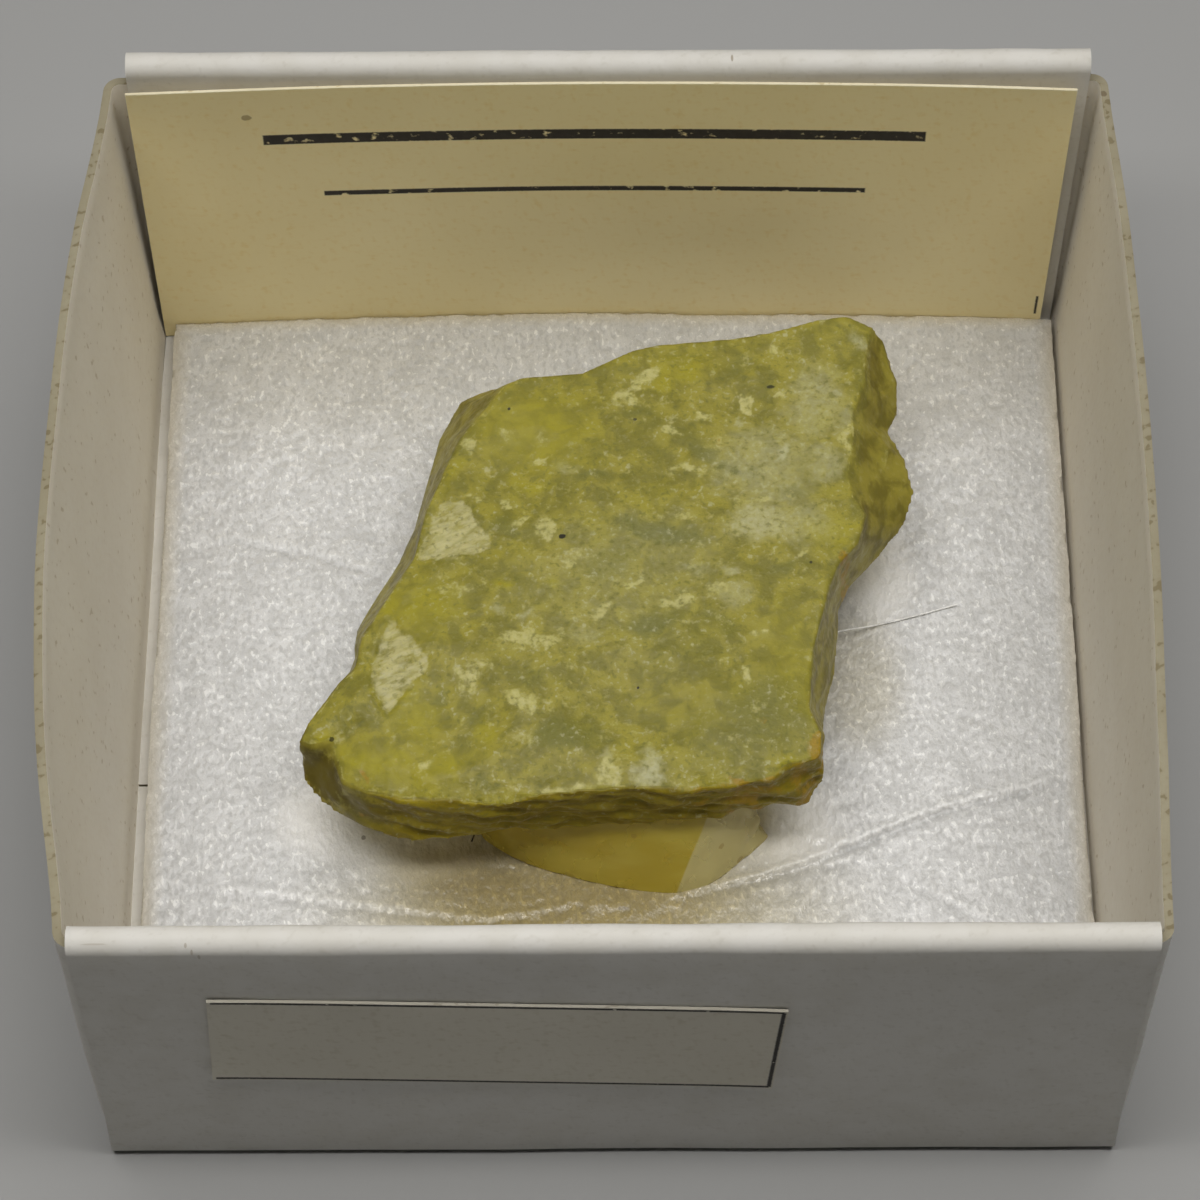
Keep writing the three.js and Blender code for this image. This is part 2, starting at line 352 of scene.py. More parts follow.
    @staticmethod
    def finish(piece: Piece, slot: str, stands_for: str = "", smooth_degrees: float = 40) -> Piece:
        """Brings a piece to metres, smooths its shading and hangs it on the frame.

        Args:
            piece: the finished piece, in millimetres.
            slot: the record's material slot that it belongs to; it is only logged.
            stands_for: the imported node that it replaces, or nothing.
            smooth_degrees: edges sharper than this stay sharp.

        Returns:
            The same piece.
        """
        piece.scale = (MM,) * 3
        Bench.settle(piece)
        bpy.ops.object.shade_smooth_by_angle(angle=math.radians(smooth_degrees))
        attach(piece, "root")
        if stands_for:
            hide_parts(stands_for)
        triangles = sum(len(face.vertices) - 2 for face in piece.data.polygons)
        log.info("%s: %d triangles, slot %s", piece.name, triangles, slot)
        return piece


class Graph:
    """The nodes of one material or of one shared effect, while they are being wired."""

    def __init__(self, tree: bpy.types.NodeTree) -> None:
        """Starts on a node tree.

        Args:
            tree: the material's or the effect's tree.
        """
        self.tree = tree

    def add(self, kind: str, feeds: dict | None = None, **options: object) -> bpy.types.Node:
        """Adds a node, sets its options, and links or fills its inputs.

        Args:
            kind: the node's type, without the ShaderNode prefix.
            feeds: for each input, by name or number, a socket to link or a value to hold.
            **options: the node's own settings.

        Returns:
            The new node.
        """
        node = self.tree.nodes.new("ShaderNode" + kind)
        for name, value in options.items():
            setattr(node, name, value)
        for key, value in (feeds or {}).items():
            if isinstance(value, Socket):
                self.tree.links.new(value, node.inputs[key])
            else:
                node.inputs[key].default_value = value
        return node

    def place(self) -> Socket:
        """The place on the piece in millimetres, from its Object coordinates."""
        spot = self.add("TexCoord").outputs["Object"]
        return self.add("VectorMath", {0: spot, "Scale": 1 / MM}, operation="SCALE").outputs[0]

    def calc(self, operation: str, *values: Socket | float) -> Socket:
        """One step of arithmetic."""
        return self.add("Math", dict(enumerate(values)), operation=operation).outputs[0]

    def times(self, first: Socket, second: Socket | float) -> Socket:
        """The product of two values."""
        return self.calc("MULTIPLY", first, second)

    def vector(self, operation: str, first: Socket, second: Socket | Triple) -> Socket:
        """One step of vector arithmetic."""
        return self.add("VectorMath", {0: first, 1: second}, operation=operation).outputs[0]

    def reach(self, place: Socket, centre: Socket | Triple, radii: Socket | Triple) -> Socket:
        """Measures how far a place lies from a centre.

        Args:
            place: the place.
            centre: the centre.
            radii: how far out the result is 1, along each axis.

        Returns:
            The distance.
        """
        scaled = self.vector("DIVIDE", self.vector("SUBTRACT", place, centre), radii)
        return self.add("VectorMath", {0: scaled}, operation="LENGTH").outputs["Value"]

    def mix(
        self, mask: Socket | float, low: Socket | Colour, high: Socket | Colour, mode: str = "MIX"
    ) -> Socket:
        """Blends two colours.

        Args:
            mask: how much of the second colour shows, from 0 to 1.
            low: the colour where the mask is 0.
            high: the colour where the mask is 1.
            mode: how the second colour acts on the first.

        Returns:
            The blended colour.
        """
        node = self.add("Mix", {0: mask, 6: low, 7: high}, data_type="RGBA", blend_type=mode)
        return node.outputs[2]

    def step(
        self, value: Socket, start: Socket | float, end: Socket | float, low: float = 0, high: float = 1
    ) -> Socket:
        """Eases a value from one level to another.

        Args:
            value: what decides.
            start: the value at which the result leaves its first level.
            end: the value at which it arrives at its second.
            low: the first level.
            high: the second level.

        Returns:
            The eased level.
        """
        feeds = {0: value, 1: start, 2: end, 3: low, 4: high}
        return self.add("MapRange", feeds, interpolation_type="SMOOTHSTEP").outputs[0]

    def noise(
        self,
        vector: Socket,
        scale: Socket | float,
        detail: float = 3,
        warp: float = 0,
        roughness: float = 0.5,
    ) -> Socket:
        """Makes soft noise.

        Args:
            vector: where the noise is read.
            scale: how many features fit in a millimetre.
            detail: how many finer layers it has.
            warp: how much it is distorted.
            roughness: how strong the finer layers are.

        Returns:
            The noise, from 0 to 1.
        """
        feeds = {"Vector": vector, "Scale": scale, "Detail": detail, "Distortion": warp}
        return self.add("TexNoise", {**feeds, "Roughness": roughness}).outputs[0]

    def stretch(self, vector: Socket, scale: Triple, turn: Triple = (0, 0, 0)) -> Socket:
        """Stretches a pattern along its own axes.

        Args:
            vector: where the pattern is read.
            scale: how much finer the pattern gets along each axis.
            turn: how the axes are turned, in degrees.

        Returns:
            The stretched vector.
        """
        feeds = {"Vector": vector, "Rotation": tuple(math.radians(a) for a in turn)}
        feeds["Scale"] = tuple(1 / value for value in scale)
        return self.add("Mapping", feeds, vector_type="TEXTURE").outputs[0]

    def bump(self, height: Socket, strength: float, depth: float) -> Socket:
        """Turns a height into a normal; depth is in millimetres."""
        feeds = {"Height": height, "Strength": strength, "Distance": depth * MM}
        return self.add("Bump", feeds).outputs[0]

    def masks(self, name: str) -> tuple[Socket, Socket, Socket]:
        """Reads the three masks of one painted attribute."""
        painted = self.add("Attribute", attribute_name=name).outputs["Color"]
        return tuple(self.add("SeparateColor", {0: painted}).outputs)

    def effect(self, effect: "Effect", **feeds: Socket | float | Triple) -> Socket:
        """Places a shared effect.

        Args:
            effect: which one.
            **feeds: for each of its inputs, a socket to link or a value to hold.

        Returns:
            Its mask.
        """
        return self.add("Group", feeds, node_tree=effect.tree()).outputs[0]


class Effect(Enum):
    """Shader effects, each built once as a node group that any finish can place."""

    FIBRE = "paper fibre"
    CLOUD = "soft cloud"
    SPOT = "ragged spot"
    BAR = "printed bar"
    FLECKS = "scattered flecks"
    CRUMBLE = "crumbled edge"

    def tree(self) -> bpy.types.NodeTree:
        """Finds this effect's node group, or builds it the first time.

        Returns:
            The node group, with its mask as the only output.
        """
        if self.value in bpy.data.node_groups:
            return bpy.data.node_groups[self.value]
        inputs, build = {
            Effect.FIBRE: ({"Size": 0.2}, self._fibre),
            Effect.CLOUD: ({"Size": 2.0, "Low": 0.4, "High": 0.6}, self._cloud),
            Effect.SPOT: ({"Centre": (0, 0, 0), "Radii": (1, 1, 1), "Grain": 0.5}, self._spot),
            Effect.BAR: ({"Centre": (0, 0, 0), "Half": (1, 1, 1), "Soft": 0.05}, self._bar),
            Effect.FLECKS: ({"Size": 0.5, "Radius": 0.3, "Share": 0.3}, self._flecks),
            Effect.CRUMBLE: ({"Amount": 0.5, "Grain": 0.5}, self._crumble),
        }[self]
        tree = bpy.data.node_groups.new(self.value, "ShaderNodeTree")
        tree.interface.new_socket("Place", in_out="INPUT", socket_type="NodeSocketVector")
        for name, value in inputs.items():
            kind = "NodeSocketVector" if isinstance(value, tuple) else "NodeSocketFloat"
            tree.interface.new_socket(name, in_out="INPUT", socket_type=kind).default_value = value
        tree.interface.new_socket("Mask", in_out="OUTPUT", socket_type="NodeSocketFloat")
        source = tree.nodes.new("NodeGroupInput").outputs
        result = build(Graph(tree), {socket.name: socket for socket in source if socket.name})
        tree.links.new(result, tree.nodes.new("NodeGroupOutput").inputs["Mask"])
        return tree

    @staticmethod
    def _fibre(graph: Graph, inlet: dict[str, Socket]) -> Socket:
        """Short crossed fibres: the mean of two stretched noises.

        Args:
            graph: the empty group.
            inlet: the group's inputs, by name.

        Returns:
            The mask.
        """
        scale = graph.calc("DIVIDE", 1.0, inlet["Size"])
        along = graph.noise(graph.stretch(inlet["Place"], (0.35, 1, 1), (0, 0, 25)), scale, 1)
        across = graph.noise(graph.stretch(inlet["Place"], (1, 1, 0.35), (20, 0, -30)), scale, 1)
        return graph.times(graph.calc("ADD", along, across), 0.5)

    @staticmethod
    def _cloud(graph: Graph, inlet: dict[str, Socket]) -> Socket:
        """Soft-edged patches.

        Args:
            graph: the empty group.
            inlet: the group's inputs, by name.

        Returns:
            The mask.
        """
        scale = graph.calc("DIVIDE", 1.0, inlet["Size"])
        return graph.step(graph.noise(inlet["Place"], scale, 2), inlet["Low"], inlet["High"])

    @staticmethod
    def _spot(graph: Graph, inlet: dict[str, Socket]) -> Socket:
        """One round or long spot, with an edge that the grain breaks.

        Args:
            graph: the empty group.
            inlet: the group's inputs, by name.

        Returns:
            The mask.
        """
        reach = graph.reach(inlet["Place"], inlet["Centre"], inlet["Radii"])
        return graph.step(graph.calc("ADD", reach, graph.calc("SUBTRACT", inlet["Grain"], 0.5)), 1.15, 0.8)

    @staticmethod
    def _bar(graph: Graph, inlet: dict[str, Socket]) -> Socket:
        """One straight printed bar, with slightly uneven edges.

        Args:
            graph: the empty group.
            inlet: the group's inputs, by name.

        Returns:
            The mask.
        """
        away = graph.vector("SUBTRACT", inlet["Place"], inlet["Centre"])
        size = graph.add("VectorMath", {0: away}, operation="ABSOLUTE").outputs[0]
        x, y, z = graph.add("SeparateXYZ", {0: graph.vector("SUBTRACT", size, inlet["Half"])}).outputs
        most = graph.calc("MAXIMUM", graph.calc("MAXIMUM", x, y), z)
        most = graph.calc("ADD", most, graph.times(graph.noise(inlet["Place"], 9.0, 2), 0.04))
        return graph.step(graph.calc("DIVIDE", most, inlet["Soft"]), 1.0, -0.2)

    @staticmethod
    def _flecks(graph: Graph, inlet: dict[str, Socket]) -> Socket:
        """Small scattered flecks: some cells of a grid carry one.

        Args:
            graph: the empty group.
            inlet: the group's inputs, by name.

        Returns:
            The mask.
        """
        scale = graph.calc("DIVIDE", 1.0, inlet["Size"])
        node = graph.add("TexVoronoi", {"Vector": inlet["Place"], "Scale": scale, "Randomness": 1.0})
        grain = graph.calc("SUBTRACT", graph.noise(inlet["Place"], graph.times(scale, 2.2), 2), 0.5)
        reach = graph.calc("ADD", node.outputs["Distance"], graph.times(grain, 0.5))
        near = graph.calc("LESS_THAN", reach, inlet["Radius"])
        lot = graph.add("SeparateColor", {0: node.outputs["Color"]}).outputs[0]
        return graph.times(near, graph.calc("LESS_THAN", lot, inlet["Share"]))

    @staticmethod
    def _crumble(graph: Graph, inlet: dict[str, Socket]) -> Socket:
        """A soft amount turned into a patch with a crumbly, broken edge.

        Args:
            graph: the empty group.
            inlet: the group's inputs, by name.

        Returns:
            The mask.
        """
        lifted = graph.calc("SUBTRACT", inlet["Amount"], 0.5)
        return graph.step(graph.calc("MULTIPLY_ADD", lifted, 0.42, inlet["Grain"]), 0.46, 0.68)


@dataclass(frozen=True)
class Mark:
    """A patch of colour, a nick or a speck at a place on a piece, in millimetres: real stains and wear, and
    some painted light and shade.
    """

    centre: Triple
    radii: Triple
    strength: float

    @classmethod
    def each(cls, *rows: tuple[Triple, Triple, float]) -> tuple["Mark", ...]:
        """Makes one mark of each row."""
        return tuple(cls(*row) for row in rows)


class Finish:
    """What every finish shares: one material, made once."""

    name: str

    def material(self) -> bpy.types.Material:
        """Finds or makes this finish's material.

        Returns:
            The material, with its nodes wired.
        """
        if self.name in bpy.data.materials:
            return bpy.data.materials[self.name]
        material = bpy.data.materials.new(self.name)
        material.use_nodes = True
        material.node_tree.nodes.clear()
        graph = Graph(material.node_tree)
        output = graph.add("OutputMaterial")
        shader, volume = self.wire(graph)
        material.node_tree.links.new(shader, output.inputs["Surface"])
        if volume:
            material.node_tree.links.new(volume, output.inputs["Volume"])
        return material

    def wire(self, graph: Graph) -> tuple[Socket, Socket | None]:
        """Wires the finish.

        Args:
            graph: the empty material.

        Returns:
            The surface shader, and the volume shader of a see-through finish.
        """
        raise NotImplementedError

    @staticmethod
    def stains_and_shade(
        graph: Graph, place: Socket, grain: Socket, colour: Socket, marks: Sequence[Mark], stains_and_shade: Colour
    ) -> Socket:
        """Lays small marks over a colour: real stains, scuffs and specks, and on the stone painted shade in
        its hollows.

        Args:
            graph: the material.
            place: the place in millimetres.
            grain: fine noise that breaks the marks' edges.
            colour: the colour under the marks.
            marks: where the marks are.
            stains_and_shade: the marks' colour.

        Returns:
            The marked colour.
        """
        for mark in marks:
            mask = graph.effect(Effect.SPOT, Place=place, Centre=mark.centre, Radii=mark.radii, Grain=grain)
            colour = graph.mix(graph.times(mask, mark.strength), colour, stains_and_shade)
        return colour


@dataclass(frozen=True)
class BoardCoat(Finish):
    """Clay-coated side of the tray board: smooth, slightly warm white."""

    name: str = "board_coat"
    colour: Colour = (0.73, 0.71, 0.66, 1)
    shade: Colour = (0.67, 0.645, 0.58, 1)
    grime: Colour = (0.34, 0.28, 0.20, 1)
    marks: tuple[Mark, ...] = ()
    fibre: float = 0.22
    cloud: float = 1.7
    roughness: tuple[float, float] = (0.55, 0.70)
    relief: float = 0.03
    specular: float = 0.32

    def wire(self, graph: Graph) -> tuple[Socket, Socket | None]:
        """Wires a faint cloud of tone, a fine fibre bump and the marks.

        Args:
            graph: the empty material.

        Returns:
            The surface shader, and no volume.
        """
        place = graph.place()
        fibre = graph.effect(Effect.FIBRE, Place=place, Size=self.fibre)
        cloud = graph.effect(Effect.CLOUD, Place=place, Size=self.cloud, Low=0.35, High=0.7)
        colour = graph.mix(graph.times(cloud, 0.6), self.colour, self.shade)
        colour = graph.mix(graph.step(fibre, 0.52, 0.75, 0, 0.25), colour, self.shade, "MULTIPLY")
        colour = self.stains_and_shade(graph, place, fibre, colour, self.marks, self.grime)
        feeds = {
            "Base Color": colour,
            "Roughness": graph.step(fibre, 0.3, 0.7, *self.roughness),
            "Normal": graph.bump(fibre, 0.4, self.relief),
            "Specular IOR Level": self.specular,
        }
        return graph.add("BsdfPrincipled", feeds).outputs[0], None


@dataclass(frozen=True)
class BareBoard(Finish):
    """Uncoated board: the inner face of the single walls, and, more speckled, the raw cut edges."""

    name: str = "bare_board"
    colour: Colour = (0.84, 0.79, 0.69, 1)
    shade: Colour = (0.79, 0.73, 0.625, 1)
    fleck: Colour = (0.55, 0.47, 0.34, 1)
    share: float = 0.05
    relief: float = 0.03
    marks: tuple[Mark, ...] = ()
    grime: Colour = (0.16, 0.12, 0.07, 1)
    fibre: float = 0.3
    cloud: float = 3.0
    specular: float = 0.3

    def wire(self, graph: Graph) -> tuple[Socket, Socket | None]:
        """Wires grey-buff fibres, the strongest of them dark flecks.

        Args:
            graph: the empty material.

        Returns:
            The surface shader, and no volume.
        """
        place = graph.place()
        fibre = graph.effect(Effect.FIBRE, Place=place, Size=self.fibre)
        rare = 0.66 - 0.4 * self.share
        flecks = graph.step(fibre, rare, rare + 0.04)
        cloud = graph.effect(Effect.CLOUD, Place=place, Size=self.cloud, Low=0.3, High=0.75)
        colour = graph.mix(graph.times(cloud, 0.5), self.colour, self.shade)
        colour = graph.mix(graph.step(fibre, 0.45, 0.7, 0, 0.5), colour, self.shade)
        colour = graph.mix(graph.times(flecks, 0.6), colour, self.fleck)
        colour = self.stains_and_shade(graph, place, fibre, colour, self.marks, self.grime)
        feeds = {
            "Base Color": colour,
            "Roughness": graph.step(fibre, 0.3, 0.7, 0.7, 0.85),
            "Normal": graph.bump(fibre, 0.5, self.relief),
            "Specular IOR Level": self.specular,
        }
        return graph.add("BsdfPrincipled", feeds).outputs[0], None


@dataclass(frozen=True)
class PrintedPaper(Finish):
    """Cream paper with plain printed rules.

    Each rule has its middle and half its size, in millimetres from the middle of the paper.
    """

    name: str
    size: tuple[float, float]
    bars: tuple[Bar, ...]
    colour: Colour = (0.92, 0.80, 0.46, 1)
    shade: Colour = (0.88, 0.755, 0.415, 1)
    ink: Colour = (0.035, 0.03, 0.025, 1)
    wear_and_highlight: tuple[float, float] = (0.30, 0.42)
    marks: tuple[Mark, ...] = ()
    grime: Colour = (0.20, 0.13, 0.04, 1)
    fibre: float = 0.25
    cloud: float = 8.0
    soft: float = 0.06
    relief: float = 0.02
    specular: float = 0.35

    def wire(self, graph: Graph) -> tuple[Socket, Socket | None]:
        """Wires cream fibres under slightly worn ink.

        Args:
            graph: the empty material.

        Returns:
            The surface shader, and no volume.
        """
        place = graph.place()
        fibre = graph.effect(Effect.FIBRE, Place=place, Size=self.fibre)
        cloud = graph.effect(Effect.CLOUD, Place=place, Size=self.cloud, Low=0.3, High=0.75)
        colour = graph.mix(cloud, self.colour, self.shade)
        colour = graph.mix(graph.step(fibre, 0.5, 0.75, 0, 0.35), colour, self.shade, "MULTIPLY")
        middle = graph.vector("SUBTRACT", graph.add("UVMap").outputs[0], (0.5, 0.5, 0))
        sheet = graph.vector("MULTIPLY", middle, (*self.size, 1))
        kept = graph.step(graph.noise(sheet, 1.9, 5), *self.wear_and_highlight)
        for x, y, half_width, half_height in self.bars:
            feeds = {"Centre": (x, y, 0), "Half": (half_width, half_height, 1), "Soft": self.soft}
            bar = graph.effect(Effect.BAR, Place=sheet, **feeds)
            colour = graph.mix(graph.times(bar, kept), colour, self.ink)
        colour = self.stains_and_shade(graph, place, fibre, colour, self.marks, self.grime)
        feeds = {
            "Base Color": colour,
            "Roughness": graph.step(fibre, 0.3, 0.7, 0.66, 0.8),
            "Normal": graph.bump(fibre, 0.35, self.relief),
            "Specular IOR Level": self.specular,
        }
        return graph.add("BsdfPrincipled", feeds).outputs[0], None


@dataclass(frozen=True)
class PackingFoam(Finish):
    """Pearly white packing foam, silky and shiny, with patches of painted light and painted shadow, and
    painted highlight and shade on its creases.
    """

    name: str = "packing_foam"
    colour: Colour = (0.66, 0.66, 0.66, 1)
    shade: Colour = (0.50, 0.50, 0.495, 1)
    # the colour that the painted shadow multiplies in: warm, as if lit through the stone and glue
    shadow_tint: Colour = (0.67, 0.575, 0.30, 1)
    bead_and_glint: Colour = (0.88, 0.88, 0.87, 1)
    thin: Colour = (0.66, 0.60, 0.47, 1)
    dirt: Colour = (0.22, 0.19, 0.14, 1)
    # the colour of the painted light
    lit: Colour = (0.93, 0.92, 0.90, 1)
    marks: tuple[Mark, ...] = ()
    # the next two hold the patches of painted shadow and of painted light
    painted_shadow: tuple[Mark, ...] = ()
    painted_light: tuple[Mark, ...] = ()
    silk: float = 3.7
    cloud: float = 1.0
    relief: float = 0.08
    specular: float = 0.6

    def wire(self, graph: Graph) -> tuple[Socket, Socket | None]:
        """Wires the silky cells, the pale beads, the creases with their painted highlight and shade, the
        patches of painted light and painted shadow, and a few specks.

        Args:
            graph: the empty material.

        Returns:
            The surface shader, and no volume.
        """
        place = graph.place()
        pressed = graph.stretch(place, (1.25, 0.85, 1), (0, 0, 6))
        silk = graph.noise(pressed, self.silk, 2)
        cloud = graph.effect(Effect.CLOUD, Place=pressed, Size=self.cloud, Low=0.35, High=0.7)
        colour = graph.mix(graph.times(cloud, 0.55), self.colour, self.shade)
        colour = graph.mix(graph.step(silk, 0.53, 0.33, 0, 0.85), colour, self.shade)
        # pale beads on the silk's highs: partly the foam's own paler cells, partly painted glints
        colour = graph.mix(graph.step(silk, 0.57, 0.7, 0, 0.8), colour, self.bead_and_glint)
        # painted highlight along the creases' ridges and painted shade in their grooves
        bright, groove_shade, rim = graph.masks("creases")
        ridge_highlight = graph.times(bright, graph.step(silk, 0.36, 0.56, 0.35, 1.0))
        colour = graph.mix(ridge_highlight, colour, self.bead_and_glint)
        colour = graph.mix(groove_shade, colour, self.shade, "MULTIPLY")
        colour = graph.mix(graph.times(rim, 0.6), colour, self.thin)
        # painted light: lighter patches where the stone's shadow falls on the foam
        for mark in self.painted_light:
            colour = graph.mix(self.round(graph, place, mark), colour, self.lit)
        # painted shadow: darker, warm patches where the stone, the glue and the card shade the foam
        for mark in self.painted_shadow:
            colour = graph.mix(self.round(graph, place, mark), colour, self.shadow_tint, "MULTIPLY")
        colour = self.stains_and_shade(graph, place, silk, colour, self.marks, self.dirt)
        feeds = {
            "Base Color": colour,
            "Roughness": graph.step(silk, 0.35, 0.65, 0.4, 0.22),
            "Normal": graph.bump(silk, 0.8, self.relief),
            "Specular IOR Level": self.specular,
        }
        return graph.add("BsdfPrincipled", feeds).outputs[0], None

    @staticmethod
    def round(graph: Graph, place: Socket, mark: Mark) -> Socket:
        """A wide soft mask round a mark's centre, up to its strength."""
        return graph.step(graph.reach(place, mark.centre, mark.radii), 1.15, 0.3, 0, mark.strength)


@dataclass(frozen=True)
class AmberGlue(Finish):
    """Set glue: smooth, clear amber, with painted light on the facet past its ridge."""

    name: str = "amber_glue"
    colour: Colour = (0.79, 0.64, 0.10, 1)
    shade: Colour = (0.70, 0.54, 0.06, 1)
    lit_facet: Colour = (0.92, 0.83, 0.40, 1)
    bubble: Colour = (0.42, 0.28, 0.05, 1)
    depth_colour: Colour = (0.92, 0.76, 0.20, 1)
    density: float = 260.0
    ridge: Triple = (2.75, -10.1, 0.0)
    beyond: Triple = (0.862, -0.507, -0.03)
    ripple: float = 0.9
    relief: float = 0.05
    clear: float = 0.45
    ior: float = 1.45

    def wire(self, graph: Graph) -> tuple[Socket, Socket | None]:
        """Wires a half-clear skin over an absorbing body.

        Args:
            graph: the empty material.

        Returns:
            The surface shader and the absorption.
        """
        place = graph.place()
        ripple = graph.noise(place, self.ripple, 2)
        bubbles = graph.effect(Effect.FLECKS, Place=place, Size=0.9, Radius=0.12, Share=0.25)
        layers = graph.stretch(place, (0.5, 0.5, 1.6))
        haze = graph.effect(Effect.CLOUD, Place=layers, Size=1.6, Low=0.35, High=0.65)
        colour = graph.mix(haze, self.colour, self.shade)
        away = graph.vector("SUBTRACT", place, self.ridge)
        past = graph.add("VectorMath", {0: away, 1: self.beyond}, operation="DOT_PRODUCT").outputs["Value"]
        # painted light: the facet past the ridge is coloured lighter, as it looks facing the light
        colour = graph.mix(graph.step(past, -0.05, 0.03, 0, 0.8), colour, self.lit_facet)
        feeds = {
            "Base Color": graph.mix(graph.times(bubbles, 0.5), colour, self.bubble),
            "Roughness": graph.step(ripple, 0.3, 0.7, 0.18, 0.32),
            "Normal": graph.bump(ripple, 0.2, self.relief),
            "Transmission Weight": self.clear,
            "IOR": self.ior,
        }
        volume = graph.add("VolumeAbsorption", {"Color": self.depth_colour, "Density": self.density})
        return graph.add("BsdfPrincipled", feeds).outputs[0], volume.outputs[0]


@dataclass(frozen=True)
class Serpentine(Finish):
    """Waxy olive serpentine, from soft clouds down to fine grains, guided by the stone's painted masks."""

    name: str = "waxy_serpentine"
    olive: Colour = (0.328, 0.292, 0.047, 1)
    moss: Colour = (0.217, 0.199, 0.036, 1)
    yellow: Colour = (0.36, 0.32, 0.022, 1)
    slate: Colour = (0.15, 0.152, 0.036, 1)
    cream: Colour = (0.54, 0.505, 0.20, 1)
    cloud: Colour = (0.50, 0.487, 0.275, 1)
    ochre: Colour = (0.34, 0.215, 0.016, 1)
    # the flank colours: the broken layers' own tones, kept dark partly as painted shade
    flank: Colour = (0.31, 0.245, 0.014, 1)
    seam: Colour = (0.18, 0.13, 0.006, 1)
    skin: Colour = (0.305, 0.262, 0.040, 1)
    shadow: Colour = (0.175, 0.147, 0.020, 1)
    # painted shade: the dark colour laid in the stone's hollows
    hollow: Colour = (0.105, 0.078, 0.006, 1)
    chip: Colour = (0.57, 0.53, 0.27, 1)
    speck: Colour = (0.03, 0.028, 0.015, 1)
    marks: tuple[Mark, ...] = ()
    # patches of painted shade in the hollows
    hollows: tuple[Mark, ...] = ()
    fine: float = 1.15
    grain: float = 4.2
    coarse: float = 1.4
    relief: float = 0.06
    specular: float = 0.15
    ior: float = 1.55
    waxiness: float = 0.3
    wax_radius: Triple = (1.0, 0.85, 0.2)
    wax_depth: float = 0.6

    def wire(self, graph: Graph) -> tuple[Socket, Socket | None]:
        """Wires the top's mottling and pale rim, the flanks with their partly painted shade, the rust and the
        chips, and last the flecks, the painted shade in the hollows and the specks.

        Args:
            graph: the empty material.

        Returns:
            The surface shader, and no volume.
        """
        place = graph.place()
        cream, slate, yellow = graph.masks("stains")
        chips, ochre, flank = graph.masks("areas")
        cloud, rim, smooth = graph.masks("glaze")
        busy = graph.calc("MULTIPLY_ADD", smooth, -0.8, 1.0)
        layered = graph.step(flank, 0.5, 1.0)
        fine = graph.noise(place, self.fine, 4, 0.5)
        grain = graph.noise(place, self.grain, 2)
        coarse = graph.noise(place, self.coarse, 3, roughness=0.72)
        strata = graph.noise(graph.stretch(place, (0.5, 0.7, 2.2), (4, 6, 0)), 1.2, 3)
        striae = graph.noise(graph.stretch(place, (0.8, 2.6, 2.0), (0, 0, 22)), 1.7, 2)

        colour = graph.mix(graph.step(fine, 0.35, 0.64), self.moss, self.olive)
        colour = self.soft(graph, colour, yellow, fine, self.yellow, 0.95)
        colour = self.soft(graph, colour, slate, fine, self.slate, 0.95)
        colour = self.soft(graph, colour, cloud, grain, self.cloud, 0.9)
        amount = graph.calc("MULTIPLY_ADD", busy, 0.25, graph.times(cream, 1.1))
        crumbs = graph.effect(Effect.CRUMBLE, Amount=amount, Grain=coarse)
        # a pale rim along the top's edges: partly wear, partly painted highlight
        wear_and_highlight = graph.effect(Effect.CRUMBLE, Amount=graph.times(rim, 0.85), Grain=coarse)
        pale = graph.times(crumbs, graph.step(grain, 0.3, 0.64, 0.28, 0.74))
        pale = graph.calc("MULTIPLY_ADD", cream, 0.24, pale)
        pale = graph.calc("MAXIMUM", pale, graph.times(wear_and_highlight, 0.6))
        colour = graph.mix(pale, colour, self.cream)

        # The flanks: layered tones on the front, darker skin tones on the other sides; their darkness is
        # partly the layers' own colour and partly painted shade on faces that turn away from the light.
        side = graph.mix(graph.step(strata, 0.34, 0.68), self.seam, self.flank)
        side = graph.mix(graph.step(grain, 0.56, 0.70, 0, 0.12), side, self.slate)
        skin = graph.mix(graph.step(fine, 0.34, 0.62), self.shadow, self.skin)
        side = graph.mix(layered, skin, side)
        colour = graph.mix(graph.step(flank, 0.0, 0.5, 0, 0.9), colour, side)

        rust = graph.effect(Effect.CRUMBLE, Amount=ochre, Grain=coarse)
        colour = graph.mix(graph.times(rust, 0.85), colour, self.ochre)
        scar = graph.mix(graph.step(striae, 0.34, 0.64, 0.4, 1.0), colour, self.chip)
        broken = graph.effect(Effect.CRUMBLE, Amount=chips, Grain=coarse)
        colour = graph.mix(graph.times(graph.times(broken, chips), 0.78), colour, scar)

        patchy = graph.times(busy, graph.step(fine, 0.36, 0.6, 0.25, 1.0))
        flecks = graph.times(graph.step(grain, 0.56, 0.76, 0, 0.6), patchy)
        colour = graph.mix(flecks, colour, self.cloud)
        pits = graph.times(graph.step(grain, 0.44, 0.27, 0, 0.5), busy)
        colour = graph.mix(pits, colour, self.slate)
        # painted shade in the hollows, then the real dark specks
        colour = self.stains_and_shade(graph, place, grain, colour, self.hollows, self.hollow)
        colour = self.stains_and_shade(graph, place, grain, colour, self.marks, self.speck)

